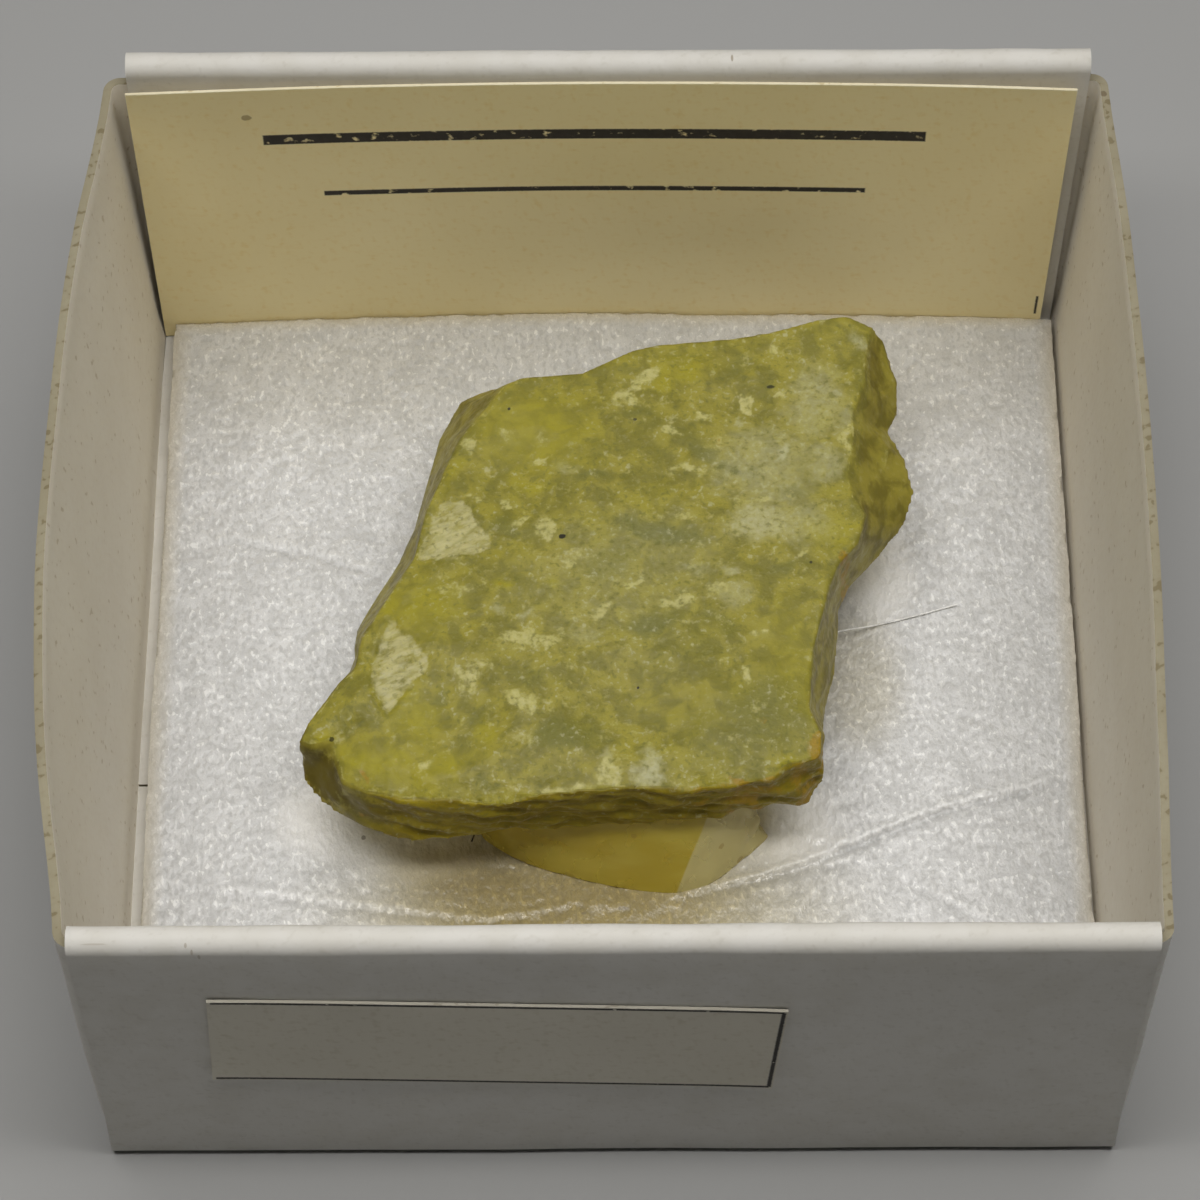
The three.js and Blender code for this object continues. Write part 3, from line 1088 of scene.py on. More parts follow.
        relief = graph.times(grain, graph.calc("ADD", busy, 0.15))
        relief = graph.calc("MULTIPLY_ADD", striae, graph.times(chips, 0.9), relief)
        relief = graph.calc("MULTIPLY_ADD", strata, graph.times(layered, 1.5), relief)
        feeds = {
            "Base Color": colour,
            "Roughness": graph.step(grain, 0.3, 0.65, 0.5, 0.34),
            "Normal": graph.bump(relief, 0.65, self.relief),
            "Specular IOR Level": self.specular,
            "IOR": self.ior,
            "Subsurface Weight": self.waxiness,
            "Subsurface Radius": self.wax_radius,
            "Subsurface Scale": self.wax_depth * MM,
        }
        return graph.add("BsdfPrincipled", feeds).outputs[0], None

    @staticmethod
    def soft(graph: Graph, under: Socket, mask: Socket, fine: Socket, colour: Colour, most: float) -> Socket:
        """Lays a colour softly where a painted mask is strong, uneven with fine noise.

        Args:
            graph: the material.
            under: the colour below.
            mask: the painted mask.
            fine: noise that makes the layer uneven.
            colour: the colour to lay.
            most: how much it covers at most.

        Returns:
            The new colour.
        """
        uneven = graph.times(mask, graph.step(fine, 0.34, 0.62, 0.65 * most, most))
        return graph.mix(uneven, under, colour)


@dataclass(frozen=True)
class Lint(Finish):
    """A fine stray thread or hair."""

    name: str
    colour: Colour

    def wire(self, graph: Graph) -> tuple[Socket, Socket | None]:
        """Wires a slightly uneven fibre.

        Args:
            graph: the empty material.

        Returns:
            The surface shader, and no volume.
        """
        uneven = graph.noise(graph.place(), 2.0, 2)
        dim = tuple(value * 0.7 for value in self.colour[:3]) + (1,)
        feeds = {
            "Base Color": graph.mix(graph.step(uneven, 0.3, 0.7), self.colour, dim),
            "Roughness": graph.step(uneven, 0.3, 0.7, 0.3, 0.45),
        }
        return graph.add("BsdfPrincipled", feeds).outputs[0], None


@dataclass(frozen=True)
class PaleFloor(Finish):
    """Plain pale studio floor."""

    name: str = "pale_floor"
    colour: Colour = (0.41, 0.41, 0.405, 1)
    shade: Colour = (0.39, 0.39, 0.385, 1)
    cloud: float = 0.02
    roughness: float = 0.9
    specular: float = 0.2

    def wire(self, graph: Graph) -> tuple[Socket, Socket | None]:
        """Wires an almost even matte tone.

        Args:
            graph: the empty material.

        Returns:
            The surface shader, and no volume.
        """
        feeds = {
            "Base Color": graph.mix(graph.noise(graph.place(), self.cloud, 3), self.colour, self.shade),
            "Roughness": self.roughness,
            "Specular IOR Level": self.specular,
        }
        return graph.add("BsdfPrincipled", feeds).outputs[0], None


@dataclass(frozen=True)
class Softbox:
    """One rectangular light that faces the tray. Lengths are metres."""

    name: str
    at: Triple
    size: tuple[float, float]
    watts: float

    def hang(self, colour: Triple) -> None:
        """Hangs the light.

        Args:
            colour: the colour of its light.
        """
        Bench.let_go()
        bpy.ops.object.light_add(type="AREA", location=self.at)
        light = bpy.context.object
        light.name = self.name
        light.rotation_euler = Vector(self.at).to_track_quat("Z", "Y").to_euler()
        light.data.shape, light.data.size, light.data.size_y = "RECTANGLE", *self.size
        light.data.energy, light.data.color = self.watts, colour


@dataclass
class Studio:
    """Camera, soft lights and floor. Lengths are metres, and the floor's are millimetres."""

    target: Triple = (-0.000448, -0.0003, 0.0099)
    distance: float = 0.1699
    elevation: float = 59.985
    yaw: float = 0.015
    roll: float = -0.267
    lens: float = 121.42
    sensor: float = 36.0
    warm: Triple = (1.0, 0.985, 0.96)
    lamps: tuple[Softbox, ...] = (
        Softbox("overhead", (0.0, 0.055, 0.45), (0.44, 0.31), 1.02),
        Softbox("near_strip", (0.0, -0.025, 0.14), (0.16, 0.022), 0.089),
        Softbox("back_sheen", (0.04, 0.25, 0.42), (0.3, 0.2), 0.10),
    )
    fill_colour: Colour = (1, 0.99, 0.97, 1)
    fill: float = 0.02
    floor_size: float = 1600.0
    floor_curve: float = 300.0

    def camera(self) -> None:
        """Stands the camera up in front of the tray, looking down at it."""
        e, y, r = (math.radians(a) for a in (self.elevation, self.yaw, self.roll))
        back = Vector((math.sin(y) * math.cos(e), -math.cos(y) * math.cos(e), math.sin(e)))
        level = Vector((math.cos(y), math.sin(y), 0))
        upright = back.cross(level)
        right = level * math.cos(r) + upright * math.sin(r)
        up = upright * math.cos(r) - level * math.sin(r)
        Bench.let_go()
        bpy.ops.object.camera_add()
        camera = bpy.context.object
        camera.name = "portrait_camera"
        turned = Matrix((right, up, back)).transposed().to_4x4()
        camera.matrix_world = Matrix.Translation(Vector(self.target) + back * self.distance) @ turned
        camera.data.lens, camera.data.sensor_width = self.lens, self.sensor
        camera.data.clip_start, camera.data.clip_end = 0.01, 10
        bpy.context.scene.camera = camera

    def lights(self) -> None:
        """Hangs a broad soft light and a near strip over the tray, and a weak one behind for the sheen."""
        for lamp in self.lamps:
            lamp.hang(self.warm)
        world = bpy.data.worlds.new("studio")
        world.use_nodes = True
        world.node_tree.nodes["Background"].inputs["Color"].default_value = self.fill_colour
        world.node_tree.nodes["Background"].inputs["Strength"].default_value = self.fill
        world.cycles.sampling_method = "NONE"
        bpy.context.scene.world = world
        bpy.context.scene.view_settings.view_transform = "Standard"

    def floor(self) -> None:
        """Lays a floor that curves up far behind, so that no horizon shows."""
        far = self.floor_size / 2
        floor = Bench.grid("studio_floor", (8, 8), (self.floor_size, self.floor_size), (0, 0, 0))
        with Bench.editing(floor):
            Bench.choose(floor, Pick.EDGE, lambda corners: all(p.y > far - 1 for p in corners))
            Bench.turn(80, (0, far, self.floor_curve), (1, 0, 0), 10)
            Bench.push((0, 60, 340))
        Bench.dress(floor, PaleFloor())
        floor.scale = (MM,) * 3
        Bench.settle(floor)
        bpy.ops.object.shade_smooth()


@dataclass
class FoldedTray:
    """The tray: one die-cut board, its front and back walls rolled over, its single side walls bowed."""

    board: float = 0.35
    half_width: float = 20.475
    corner_y: float = 20.0
    wall_x: float = 20.875
    wall_y: float = 20.925
    height: float = 20.0
    roll: float = 0.425
    fold: float = 0.4
    corner: float = 0.5
    foot: float = 0.6
    side_height: float = 19.3
    side_fall: float = 0.9
    tab: float = 9.0
    flap_top: float = 0.8
    seam_y: float = -4.25
    flap_spread: float = 1.006
    flap_nudge: float = 0.09
    side_tuck: float = 0.25
    side_tuck_height: float = 3.0
    end_spread: float = 0.3
    end_spread_height: float = 12.0
    cuts: tuple[int, int] = (72, 28)
    rows: int = 14
    side_rows: int = 18
    arc: int = 6
    sway: tuple[float, float] = (7.0, 0.09)
    roll_sway: tuple[float, float] = (1.5, 0.04)
    softened: float = 0.06
    bow_rows: int = 5
    bow_depth: float = 30.0
    bow: tuple[tuple[Side, tuple[float, ...]], ...] = (
        (Side.LEFT, (0, 1.2, 1.75, 1.75, 1.35, 0.5)),
        (Side.RIGHT, (0, 0.35, 0.7, 0.8, 0.7, 0.3)),
    )
    scuffs: tuple[Mark, ...] = Mark.each(
        ((-15.97, -20.9, 19.88), (0.05, 0.12, 0.1), 0.5),
        ((-15.75, -21.05, 19.62), (0.05, 0.1, 0.17), 0.55),
        ((-15.5, -21.12, 19.35), (0.05, 0.1, 0.17), 0.5),
        ((-19.4, -20.82, 19.92), (0.55, 0.03, 0.06), 0.35),
        ((5.25, 20.35, 20.0), (0.05, 0.2, 0.07), 0.8),
    )
    burn: Mark = Mark((21.1, 19.6, 18.6), (0.16, 0.16, 0.4), 0.8)

    def build(self) -> Piece:
        """Folds the board up from its base, panel by panel, and gives it its thickness.

        Returns:
            The finished tray.
        """
        size = (2 * self.half_width, 2 * self.corner_y)
        tray = Bench.grid("folded_tray", self.cuts, size, (0, 0, self.board / 2))
        with Bench.editing(tray):
            bpy.ops.mesh.select_all(action="SELECT")
            bpy.ops.mesh.flip_normals()
            for end in End:
                self.roll_wall(tray, end)
            for side in Side:
                self.raise_side(tray, side)
                for end in End:
                    self.turn_tab(tray, side, end)
        self.widen_flaps(tray)
        self.close_corners(tray)
        for side, stations in self.bow:
            self.bow_side(tray, side, stations)
        Bench.roughen(tray, "CLOUDS", *self.sway, noise_depth=1)
        places = Bench.points(tray)
        high = places[:, 2] > self.height - 1.5
        rolled = np.abs(places[:, 1]) > self.wall_y - 2 * self.roll - 0.05
        Bench.weigh(tray, "rolls", (rolled & high).astype(float))
        Bench.roughen(tray, "CLOUDS", *self.roll_sway, "rolls", noise_depth=1)
        tones = ((0.34, 0.305, 0.21, 1), (0.27, 0.235, 0.15, 1), (0.17, 0.13, 0.06, 1))
        raw_edge = BareBoard("raw_board_edge", *tones, 0.2, 0.08, (self.burn,))
        Bench.dress(tray, BoardCoat(marks=self.scuffs), raw_edge, BareBoard())
        settings = {"offset": 0, "use_even_offset": True, "material_offset": 2, "material_offset_rim": 1}
        Bench.modify(tray, "SOLIDIFY", thickness=self.board, **settings)
        soften = {"segments": 2, "angle_limit": math.radians(60), "material": 0}
        Bench.modify(tray, "BEVEL", width=self.softened, **soften)
        return Bench.finish(tray, "tray_board", "card_tray", 35)

    def roll_wall(self, tray: Piece, end: End) -> None:
        """Folds one wall up, over into its roll, down inside, and in along the floor.

        Args:
            tray: the tray, open in edit mode.
            end: the wall to fold.
        """
        way, low, x_axis = end.value, self.board / 2, (1, 0, 0)
        flap = self.flap_top - self.board / 2
        inner = self.wall_y - 2 * self.roll
        roll_z = self.height - self.board / 2 - self.roll
        fold_y = self.wall_y - self.fold
        Bench.choose(tray, Pick.EDGE, lambda corners: all(way * p.y > self.corner_y - NEAR for p in corners))
        Bench.push((0, way * (fold_y - self.corner_y), 0))
        Bench.turn(way * 90, (0, way * fold_y, low + self.fold), x_axis, self.arc)
        Bench.push((0, 0, roll_z - low - self.fold), self.rows)
        Bench.turn(way * 180, (0, way * (self.wall_y - self.roll), roll_z), x_axis, self.rows)
        Bench.push((0, 0, flap + self.fold - roll_z), self.rows)
        Bench.turn(way * -90, (0, way * (inner - self.fold), flap + self.fold), x_axis, self.arc)
        reach = self.seam_y + way * 0.05 - way * (inner - self.fold)
        Bench.push((0, reach + way * 0.5, 0), 8)
        Bench.push((0, -way * 0.5, 0))

    def widen_flaps(self, tray: Piece) -> None:
        """Lets the liner flaps almost reach the side walls, and one corner at their seam touch the left one.

        Args:
            tray: the tray, still a thin sheet.
        """
        places = Bench.points(tray)
        level = np.abs(places[:, 2] - self.flap_top + self.board / 2) < NEAR
        flap = level & (np.abs(places[:, 1]) < self.corner_y - self.fold)
        places[flap, 0] *= self.flap_spread
        corner = flap & (places[:, 0] < -self.half_width) & (np.abs(places[:, 1] - self.seam_y + 0.3) < 0.4)
        places[corner, 0] -= self.flap_nudge
        Bench.press(tray, places)

    def close_corners(self, tray: Piece) -> None:
        """Brings the side walls in to the front and back walls at their feet, and those out to meet them.

        Args:
            tray: the tray, still a thin sheet.
        """
        places = Bench.points(tray)
        across, along, up = np.abs(places[:, 0]), np.abs(places[:, 1]), places[:, 2]
        side = np.clip((across - self.half_width) / self.fold, 0, 1) * (along < self.corner_y + 0.6)
        tuck = side * np.clip(1 - up / self.side_tuck_height, 0, 1)
        places[:, 0] -= np.sign(places[:, 0]) * self.side_tuck * tuck
        spread = (along > self.wall_y - 0.2) * np.clip(1 - up / self.end_spread_height, 0, 1)
        places[:, 0] *= 1 + spread * self.end_spread / self.half_width
        Bench.press(tray, places)

    def raise_side(self, tray: Piece, side: Side) -> None:
        """Folds one side wall up from the base.

        Args:
            tray: the tray, open in edit mode.
            side: the wall to raise.
        """
        way, low = side.value, self.board / 2

        def on_foot(corners: list[Vector]) -> bool:
            """Whether an edge lies on this side of the base."""
            return all(way * p.x > self.half_width - NEAR and p.z < low + NEAR
                       and abs(p.y) < self.corner_y + NEAR for p in corners)

        Bench.choose(tray, Pick.EDGE, on_foot)
        Bench.turn(-way * 90, (way * self.half_width, 0, low + self.fold), (0, 1, 0), self.arc)
        Bench.push((0, 0, self.foot - low - self.fold))
        Bench.push((0, 0, self.side_height - self.foot), self.side_rows)

    def turn_tab(self, tray: Piece, side: Side, end: End) -> None:
        """Turns one end of a side wall in between the layers of a rolled wall.

        Args:
            tray: the tray, open in edit mode.
            side: the side wall.
            end: the rolled wall.
        """
        across, along = side.value, end.value

        def on_end(corners: list[Vector]) -> bool:
            """Whether an edge lies on this end of the side wall."""
            return all(across * p.x > self.wall_x - NEAR and along * p.y > self.corner_y - NEAR
                       and p.z > self.foot - NEAR for p in corners)

        Bench.choose(tray, Pick.EDGE, on_end)
        centre = (across * (self.wall_x - self.corner), along * self.corner_y, 0)
        Bench.turn(across * along * 90, centre, (0, 0, 1), self.arc)
        Bench.push((-across * self.tab, 0, 0), 8)

    def bow_side(self, tray: Piece, side: Side, stations: tuple[float, ...]) -> None:
        """Bows one side wall with a lattice, and lets its top edge fall away towards the back.

        Args:
            tray: the tray, still a thin sheet.
            side: the wall to bow.
            stations: how far its top stands out, at even steps from front to back.
        """
        places, rows = Bench.points(tray), self.bow_rows
        tucked = np.abs(np.abs(places[:, 1]) - self.corner_y - self.corner) < 0.02
        tab = tucked & (places[:, 2] < self.side_height + NEAR)
        wall = np.abs(places[:, 0]) > self.half_width + 0.02
        name = f"{side.name.lower()}_wall"
        mine = (side.value * places[:, 0] > 5) & (places[:, 2] > self.foot - NEAR)
        outer = np.abs(places[:, 1]) < self.corner_y + self.corner + 0.1
        Bench.weigh(tray, name, (mine & outer & (tab | wall)).astype(float))
        Bench.let_go()
        size = (self.bow_depth, 2 * self.corner_y, self.side_height - self.foot)
        middle = (side.value * self.bow_depth / 2, 0, self.foot + size[2] / 2)
        bpy.ops.object.add(type="LATTICE", location=middle)
        cage = bpy.context.object
        cage.scale = size
        cage.data.points_u, cage.data.points_v, cage.data.points_w = 2, len(stations), rows
        for axis in "uvw":
            setattr(cage.data, f"interpolation_type_{axis}", "KEY_CATMULL_ROM")
        for index, point in enumerate(cage.data.points):
            level, station = divmod(index // 2, len(stations))
            rise = level / (rows - 1)
            out = side.value * stations[station] * rise**1.5
            fall = self.side_fall * rise * station / (len(stations) - 1)
            point.co_deform = point.co + Vector((out / size[0], 0, -fall / size[2]))
        Bench.modify(tray, "LATTICE", object=cage, vertex_group=name)
        bpy.data.objects.remove(cage)


@dataclass
class FoamLiner:
    """The foam pad on the tray's floor, with its small cells, soft hollows and creases.

    Each crease has a height, a width and the line that it follows.
    """

    width: float = 40.3
    front: float = -19.5
    back: float = 19.55
    top: float = 2.15
    thickness: float = 1.35
    x: float = 0.2
    sweep: float = 0.5
    cuts: tuple[int, int] = (296, 288)
    rim_drop: float = 0.22
    rim_width: float = 0.7
    thin_width: float = 0.9
    full_crease: float = 0.17
    creases: tuple[tuple[float, float, tuple[tuple[float, float], ...]], ...] = (
        (0.13, 0.18, (
            (20.2, -4.4), (17.4, -5.25), (13.9, -6.2), (10.4, -7.7), (8.4, -8.6), (6.3, -9.3), (2.5, -10.3),
        )),
        (0.06, 0.16, (
            (-20.0, -9.5), (-14.9, -10.0), (-10.2, -10.7), (-5.2, -11.3), (-1.6, -10.6), (1.2, -10.9),
        )),
        (0.05, 0.20, ((-19.6, 7.4), (-16.5, 7.5), (-13.1, 6.8), (-10.2, 5.7), (-8.8, 4.6))),
        (0.05, 0.18, ((12.0, -9.0), (16.0, -11.5), (19.5, -12.6))),
        (0.08, 0.15, ((7.2, -6.5), (8.3, -7.5), (9.6, -7.9), (10.9, -7.1))),
        (0.07, 0.13, ((8.0, -8.2), (9.1, -8.8), (10.6, -8.4))),
        (0.06, 0.13, ((6.8, -12.8), (7.7, -11.2), (8.8, -9.8))),
    )
    dirt: tuple[Mark, ...] = Mark.each(
        ((-10.6, -7.5, 2.2), (0.10, 0.10, 0.4), 0.7), ((-1.2, -11.1, 2.2), (0.12, 0.08, 0.4), 0.5),
        ((0.5, -10.9, 2.2), (0.25, 0.08, 0.4), 0.5), ((12.6, -14.2, 2.2), (0.09, 0.09, 0.4), 0.5),
    )
    # Painted shadow on the foam: in front of and beside the stone and glue, and along the card.
    painted_shadow: tuple[Mark, ...] = Mark.each(
        ((-1.0, -12.4, 2.2), (12.5, 8.0, 4), 0.8), ((-2.0, -10.6, 2.2), (8.5, 3.2, 4), 0.75),
        ((-6.9, -8.9, 2.2), (3.4, 2.2, 4), 0.4), ((10.8, 0.0, 2.2), (2.4, 4.0, 4), 0.4),
        ((0.0, 17.0, 2.2), (30.0, 7.0, 4), 0.16),
    )
    # Painted light on the foam, laid where the stone's shadow falls beside and under it.
    painted_light: tuple[Mark, ...] = Mark.each(
        ((7.1, -6.8, 2.2), (3.2, 2.6, 4), 1.0), ((-12.2, -6.6, 2.2), (2.6, 2.2, 4), 1.0),
        ((-8.4, -7.6, 2.2), (4.0, 2.2, 4), 1.0), ((12.0, 5.4, 2.2), (1.7, 3.4, 4), 0.8),
    )

    def build(self) -> Piece:
        """Cuts the pad, presses its edges and creases, and raises its cells.

        Returns:
            The finished pad.
        """
        depth, middle = self.back - self.front, (self.x, (self.front + self.back) / 2, self.top)
        foam = Bench.grid("foam_liner", self.cuts, (self.width, depth), middle)
        with Bench.editing(foam):
            Bench.choose(foam, Pick.EDGE, lambda corners: all(self.on_rim(p) for p in corners))
            Bench.push((0, 0, -self.thickness), 4)
            bpy.ops.mesh.edge_face_add()
        places = Bench.points(foam)
        upper = (places[:, 2] > self.top - NEAR).astype(float)
        Bench.weigh(foam, "top", upper)
        reach, bright, groove_shade = self.rim_distance(places), np.zeros(len(places)), np.zeros(len(places))
        places[:, 2] -= upper * self.rim_drop * np.clip(1 - reach / self.rim_width, 0, 1) ** 2
        # Each crease is raised and grooved; its ridge and groove are also masked for painted highlight and
        # painted shade.
        for height, width, line in self.creases:
            away, along = self.line_distance(places[:, :2], np.array(line))
            ridge = np.exp(-((away / width) ** 2)) * np.sin(np.pi * np.clip(along, 0.02, 0.98)) ** 0.5
            groove = np.exp(-(((away - 1.6 * width) / (1.3 * width)) ** 2)) * np.sin(np.pi * along) ** 0.5
            places[:, 2] += upper * height * (ridge - 0.7 * groove)
            bright = np.maximum(bright, ridge * height / self.full_crease)
            groove_shade = np.maximum(groove_shade, groove * height / self.full_crease)
        thin = np.clip(1 - reach / self.thin_width, 0, 1)
        Bench.paint(foam, "creases", bright * upper, groove_shade * upper * 0.6, thin)
        back_share = np.clip((places[:, 1] - self.front) / depth, 0, 1) ** 8
        places[:, 1] -= self.sweep * (places[:, 0] / HALF_TRAY) ** 2 * back_share
        Bench.press(foam, places)
        Bench.roughen(foam, "CLOUDS", 6.0, 0.22, "top", noise_depth=0)
        Bench.roughen(foam, "CLOUDS", 1.5, 0.10, "top", noise_depth=1)
        Bench.roughen(foam, "VORONOI", 0.42, -0.07, "top", distance_metric="DISTANCE_SQUARED")
        Bench.dress(foam, PackingFoam(marks=self.dirt, painted_shadow=self.painted_shadow, painted_light=self.painted_light))
        Bench.finish(foam, "foam", "foam_pad", 60)
        return foam

    def on_rim(self, p: Vector) -> bool:
        """Whether a corner of the flat sheet lies on its outline."""
        return abs(p.x - self.x) > self.width / 2 - NEAR or not self.front + NEAR <= p.y <= self.back - NEAR

    def rim_distance(self, places: np.ndarray) -> np.ndarray:
        """Measures how far inside the pad's outline each corner lies.

        Args:
            places: the corners' places.

        Returns:
            The distance to the nearest side.
        """
        side = self.width / 2 - np.abs(places[:, 0] - self.x)
        return np.minimum(side, np.minimum(places[:, 1] - self.front, self.back - places[:, 1]))

    @staticmethod
    def line_distance(places: np.ndarray, line: np.ndarray) -> tuple[np.ndarray, np.ndarray]:
        """Measures from places to a bent line.

        Args:
            places: x and y of each place.
            line: x and y of each point of the line.

        Returns:
            For each place the signed distance, positive on the front side, and how far along the line it is,
            from 0 to 1.
        """
        best = np.full(len(places), np.inf)
        along = np.zeros(len(places))
        steps = np.linalg.norm(np.diff(line, axis=0), axis=1)
        run = np.concatenate([[0], np.cumsum(steps)])
        for i, (a, b) in enumerate(zip(line[:-1], line[1:])):
            share = np.clip(((places - a) @ (b - a)) / steps[i] ** 2, 0, 1)
            gap = places - a - share[:, None] * (b - a)
            far = np.hypot(gap[:, 0], gap[:, 1]) * np.where(gap[:, 1] < 0, 1, -1)
            nearer = np.abs(far) < np.abs(best)
            best[nearer] = far[nearer]
            along[nearer] = ((run[i] + share * steps[i]) / run[-1])[nearer]
        return best, along


@dataclass
class NameCard:
    """The cream card that stands against the back wall, bowed towards the tray at its ends."""

    width: float = 40.4
    height: float = 18.3
    thickness: float = 0.14
    x: float = -0.3
    face: float = 19.62
    foot: float = 0.92
    sweep: float = 0.5
    cuts: tuple[int, int] = (48, 22)
    softened: float = 0.02
    rules: tuple[Bar, ...] = ((-0.3, 5.6, 14.3, 0.34), (-0.3, 1.6, 11.9, 0.16), (19.9, -7.0, 0.05, 0.7))
    smudge: Mark = Mark((-15.5, 19.3, 17.3), (0.22, 0.5, 0.2), 0.6)

    def build(self) -> Piece:
        """Cuts, bows and thickens the card.

        Returns:
            The finished card.
        """
        middle = (self.x, self.face + self.thickness / 2, self.foot + self.height / 2)
        size = (self.width, self.height)
        card = Bench.grid("bowed_name_card", self.cuts, size, middle, (90, 0, 0))
        places = Bench.points(card)
        places[:, 1] -= self.sweep * (places[:, 0] / HALF_TRAY) ** 2
        Bench.press(card, places)
        Bench.roughen(card, "CLOUDS", 9.0, 0.06, noise_depth=0)
        paper = PrintedPaper("cream_card", size, self.rules, marks=(self.smudge,))
        tones = ((0.80, 0.74, 0.54, 1), (0.72, 0.64, 0.42, 1), (0.55, 0.45, 0.24, 1))
        Bench.dress(card, paper, BareBoard("card_edge", *tones, 0.1, 0.02))
        Bench.modify(card, "SOLIDIFY", thickness=self.thickness, offset=0, material_offset_rim=1)
        soften = {"segments": 1, "angle_limit": math.radians(60), "material": 1}
        Bench.modify(card, "BEVEL", width=self.softened, **soften)
        return Bench.finish(card, "card_paper", "name_card")


@dataclass
class NumberSticker:
    """The small bordered sticker on the front wall, stuck on slightly turned, with nothing written on it."""

    width: float = 22.3
    height: float = 7.4
    thickness: float = 0.12
    x: float = -4.6
    z: float = 11.4
    tilt: float = -2.9
    front: float = -21.18
    cuts: tuple[int, int] = (44, 15)
    curl: float = 0.05
    margin: tuple[float, float] = (0.15, 0.13)
    line: tuple[float, float] = (0.08, 0.075)

    def build(self) -> Piece:
        """Cuts the sticker, curls its corners a little and sticks it on.

        Returns:
            The finished sticker.
        """
        size = (self.width, self.height)
        sticker = Bench.grid("bordered_sticker", self.cuts, size, (0, 0, 0), (90, 0, 0))
        places = Bench.points(sticker)
        corner = np.abs(places[:, 0] / (self.width / 2)) * np.abs(places[:, 2] / (self.height / 2))
        places[:, 1] -= self.curl * corner**6
        Bench.press(sticker, places)
        (across, up), (upright, level) = self.margin, self.line
        reach_x, reach_y = self.width / 2 - across, self.height / 2 - up
        border = ((0, reach_y, reach_x, level), (0, -reach_y, reach_x, level), (reach_x, 0, upright, reach_y))
        tones = ((0.75, 0.71, 0.60, 1), (0.70, 0.66, 0.55, 1))
        paper = PrintedPaper("cream_sticker", size, border, *tones, wear_and_highlight=(0.27, 0.36))
        tones = ((0.58, 0.55, 0.46, 1), (0.50, 0.47, 0.39, 1), (0.36, 0.32, 0.24, 1))
        Bench.dress(sticker, paper, BareBoard("sticker_edge", *tones, 0.1, 0.01))
        Bench.modify(sticker, "SOLIDIFY", thickness=self.thickness, offset=0, material_offset_rim=1)
        sticker.rotation_euler = (0, math.radians(-self.tilt), 0)
        sticker.location = (self.x, self.front, self.z)
        Bench.settle(sticker)
        return Bench.finish(sticker, "sticker_paper", "number_sticker")


@dataclass
class GlueLump:
    """The lump of set glue between stone and foam, with a smooth front, one ridge and a torn tip."""

    ridge: tuple[float, float] = (2.8, -10.3)
    tip: tuple[float, float] = (6.6, -7.6)
    crease: float = 0.85
    band: float = 0.6
    sink: float = 0.12
    rise: float = 0.35
    tear: float = 0.6
    tear_from: float = 5.4

    def build(self) -> Piece:
        """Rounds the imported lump, keeping its ridge, tip, rim and foot crisp.

        Returns:
            The finished lump.
        """
        glue = Bench.copy_of("glue_blob", "set_glue")
        low, high = (p[2] for p in (Bench.points(glue).min(0), Bench.points(glue).max(0)))
        with Bench.editing(glue):
            bpy.ops.mesh.tris_convert_to_quads()
            Bench.choose(glue, Pick.EDGE, lambda corners: self.crisp(corners, low, high))
            bpy.ops.transform.edge_crease(value=self.crease)
        Bench.modify(glue, "SUBSURF", levels=4, render_levels=4)
        places = Bench.points(glue)
        places[:, 2] -= self.sink * np.clip((low + self.band - places[:, 2]) / self.band, 0, 1)
        places[:, 2] += self.rise * np.clip((places[:, 2] - high + self.band) / self.band, 0, 1)
        torn = np.abs((places[:, 2] * 0.9) % 1 - 0.5) - 0.25
        places[:, 0] += self.tear * torn * np.clip(places[:, 0] - self.tear_from, 0, 1)
        Bench.press(glue, places)
        Bench.roughen(glue, "CLOUDS", 2.2, 0.08, noise_depth=1)
        Bench.dress(glue, AmberGlue())
        return Bench.finish(glue, "glue", "glue_blob", 30)

    def crisp(self, corners: list[Vector], low: float, high: float) -> bool:
        """Tests whether an edge is part of the rim, the foot, the ridge or the tip.

        Args:
            corners: the places of the edge's two ends.
            low: the height of the foot.
            high: the height of the rim.

        Returns:
            Whether it is.
        """
        flat = all(p.z < low + NEAR for p in corners) or all(p.z > high - NEAR for p in corners)
        lowest = min(corners, key=lambda p: p.z)
        near = min(math.dist(lowest[:2], point) for point in (self.ridge, self.tip))
        return flat or (near < 1.0 and abs(corners[0].z - corners[1].z) > 0.3)


@dataclass(frozen=True)
class Scoop:
    """A shell-shaped hollow that a flake left in the stone."""

    centre: Triple
    radii: Triple
    turn: Triple = (0, 0, 0)


@dataclass(frozen=True)
class Chip:
    """A shallow bright chip in the stone's top, deepest at its left end and rising from there."""

    outline: tuple[tuple[float, float], ...]
    depth: float
    rise: float


@dataclass(frozen=True)
class Stroke:
    """A soft patch of one colour on the stone's top, in millimetres and degrees."""

    x: float
    y: float
    reach: float
    breadth: float
    turn: float = 0
    strength: float = 1

    @classmethod
    def each(cls, *rows: tuple[float, ...]) -> tuple["Stroke", ...]:
        """Makes one stroke of each row."""
        return tuple(cls(*row) for row in rows)


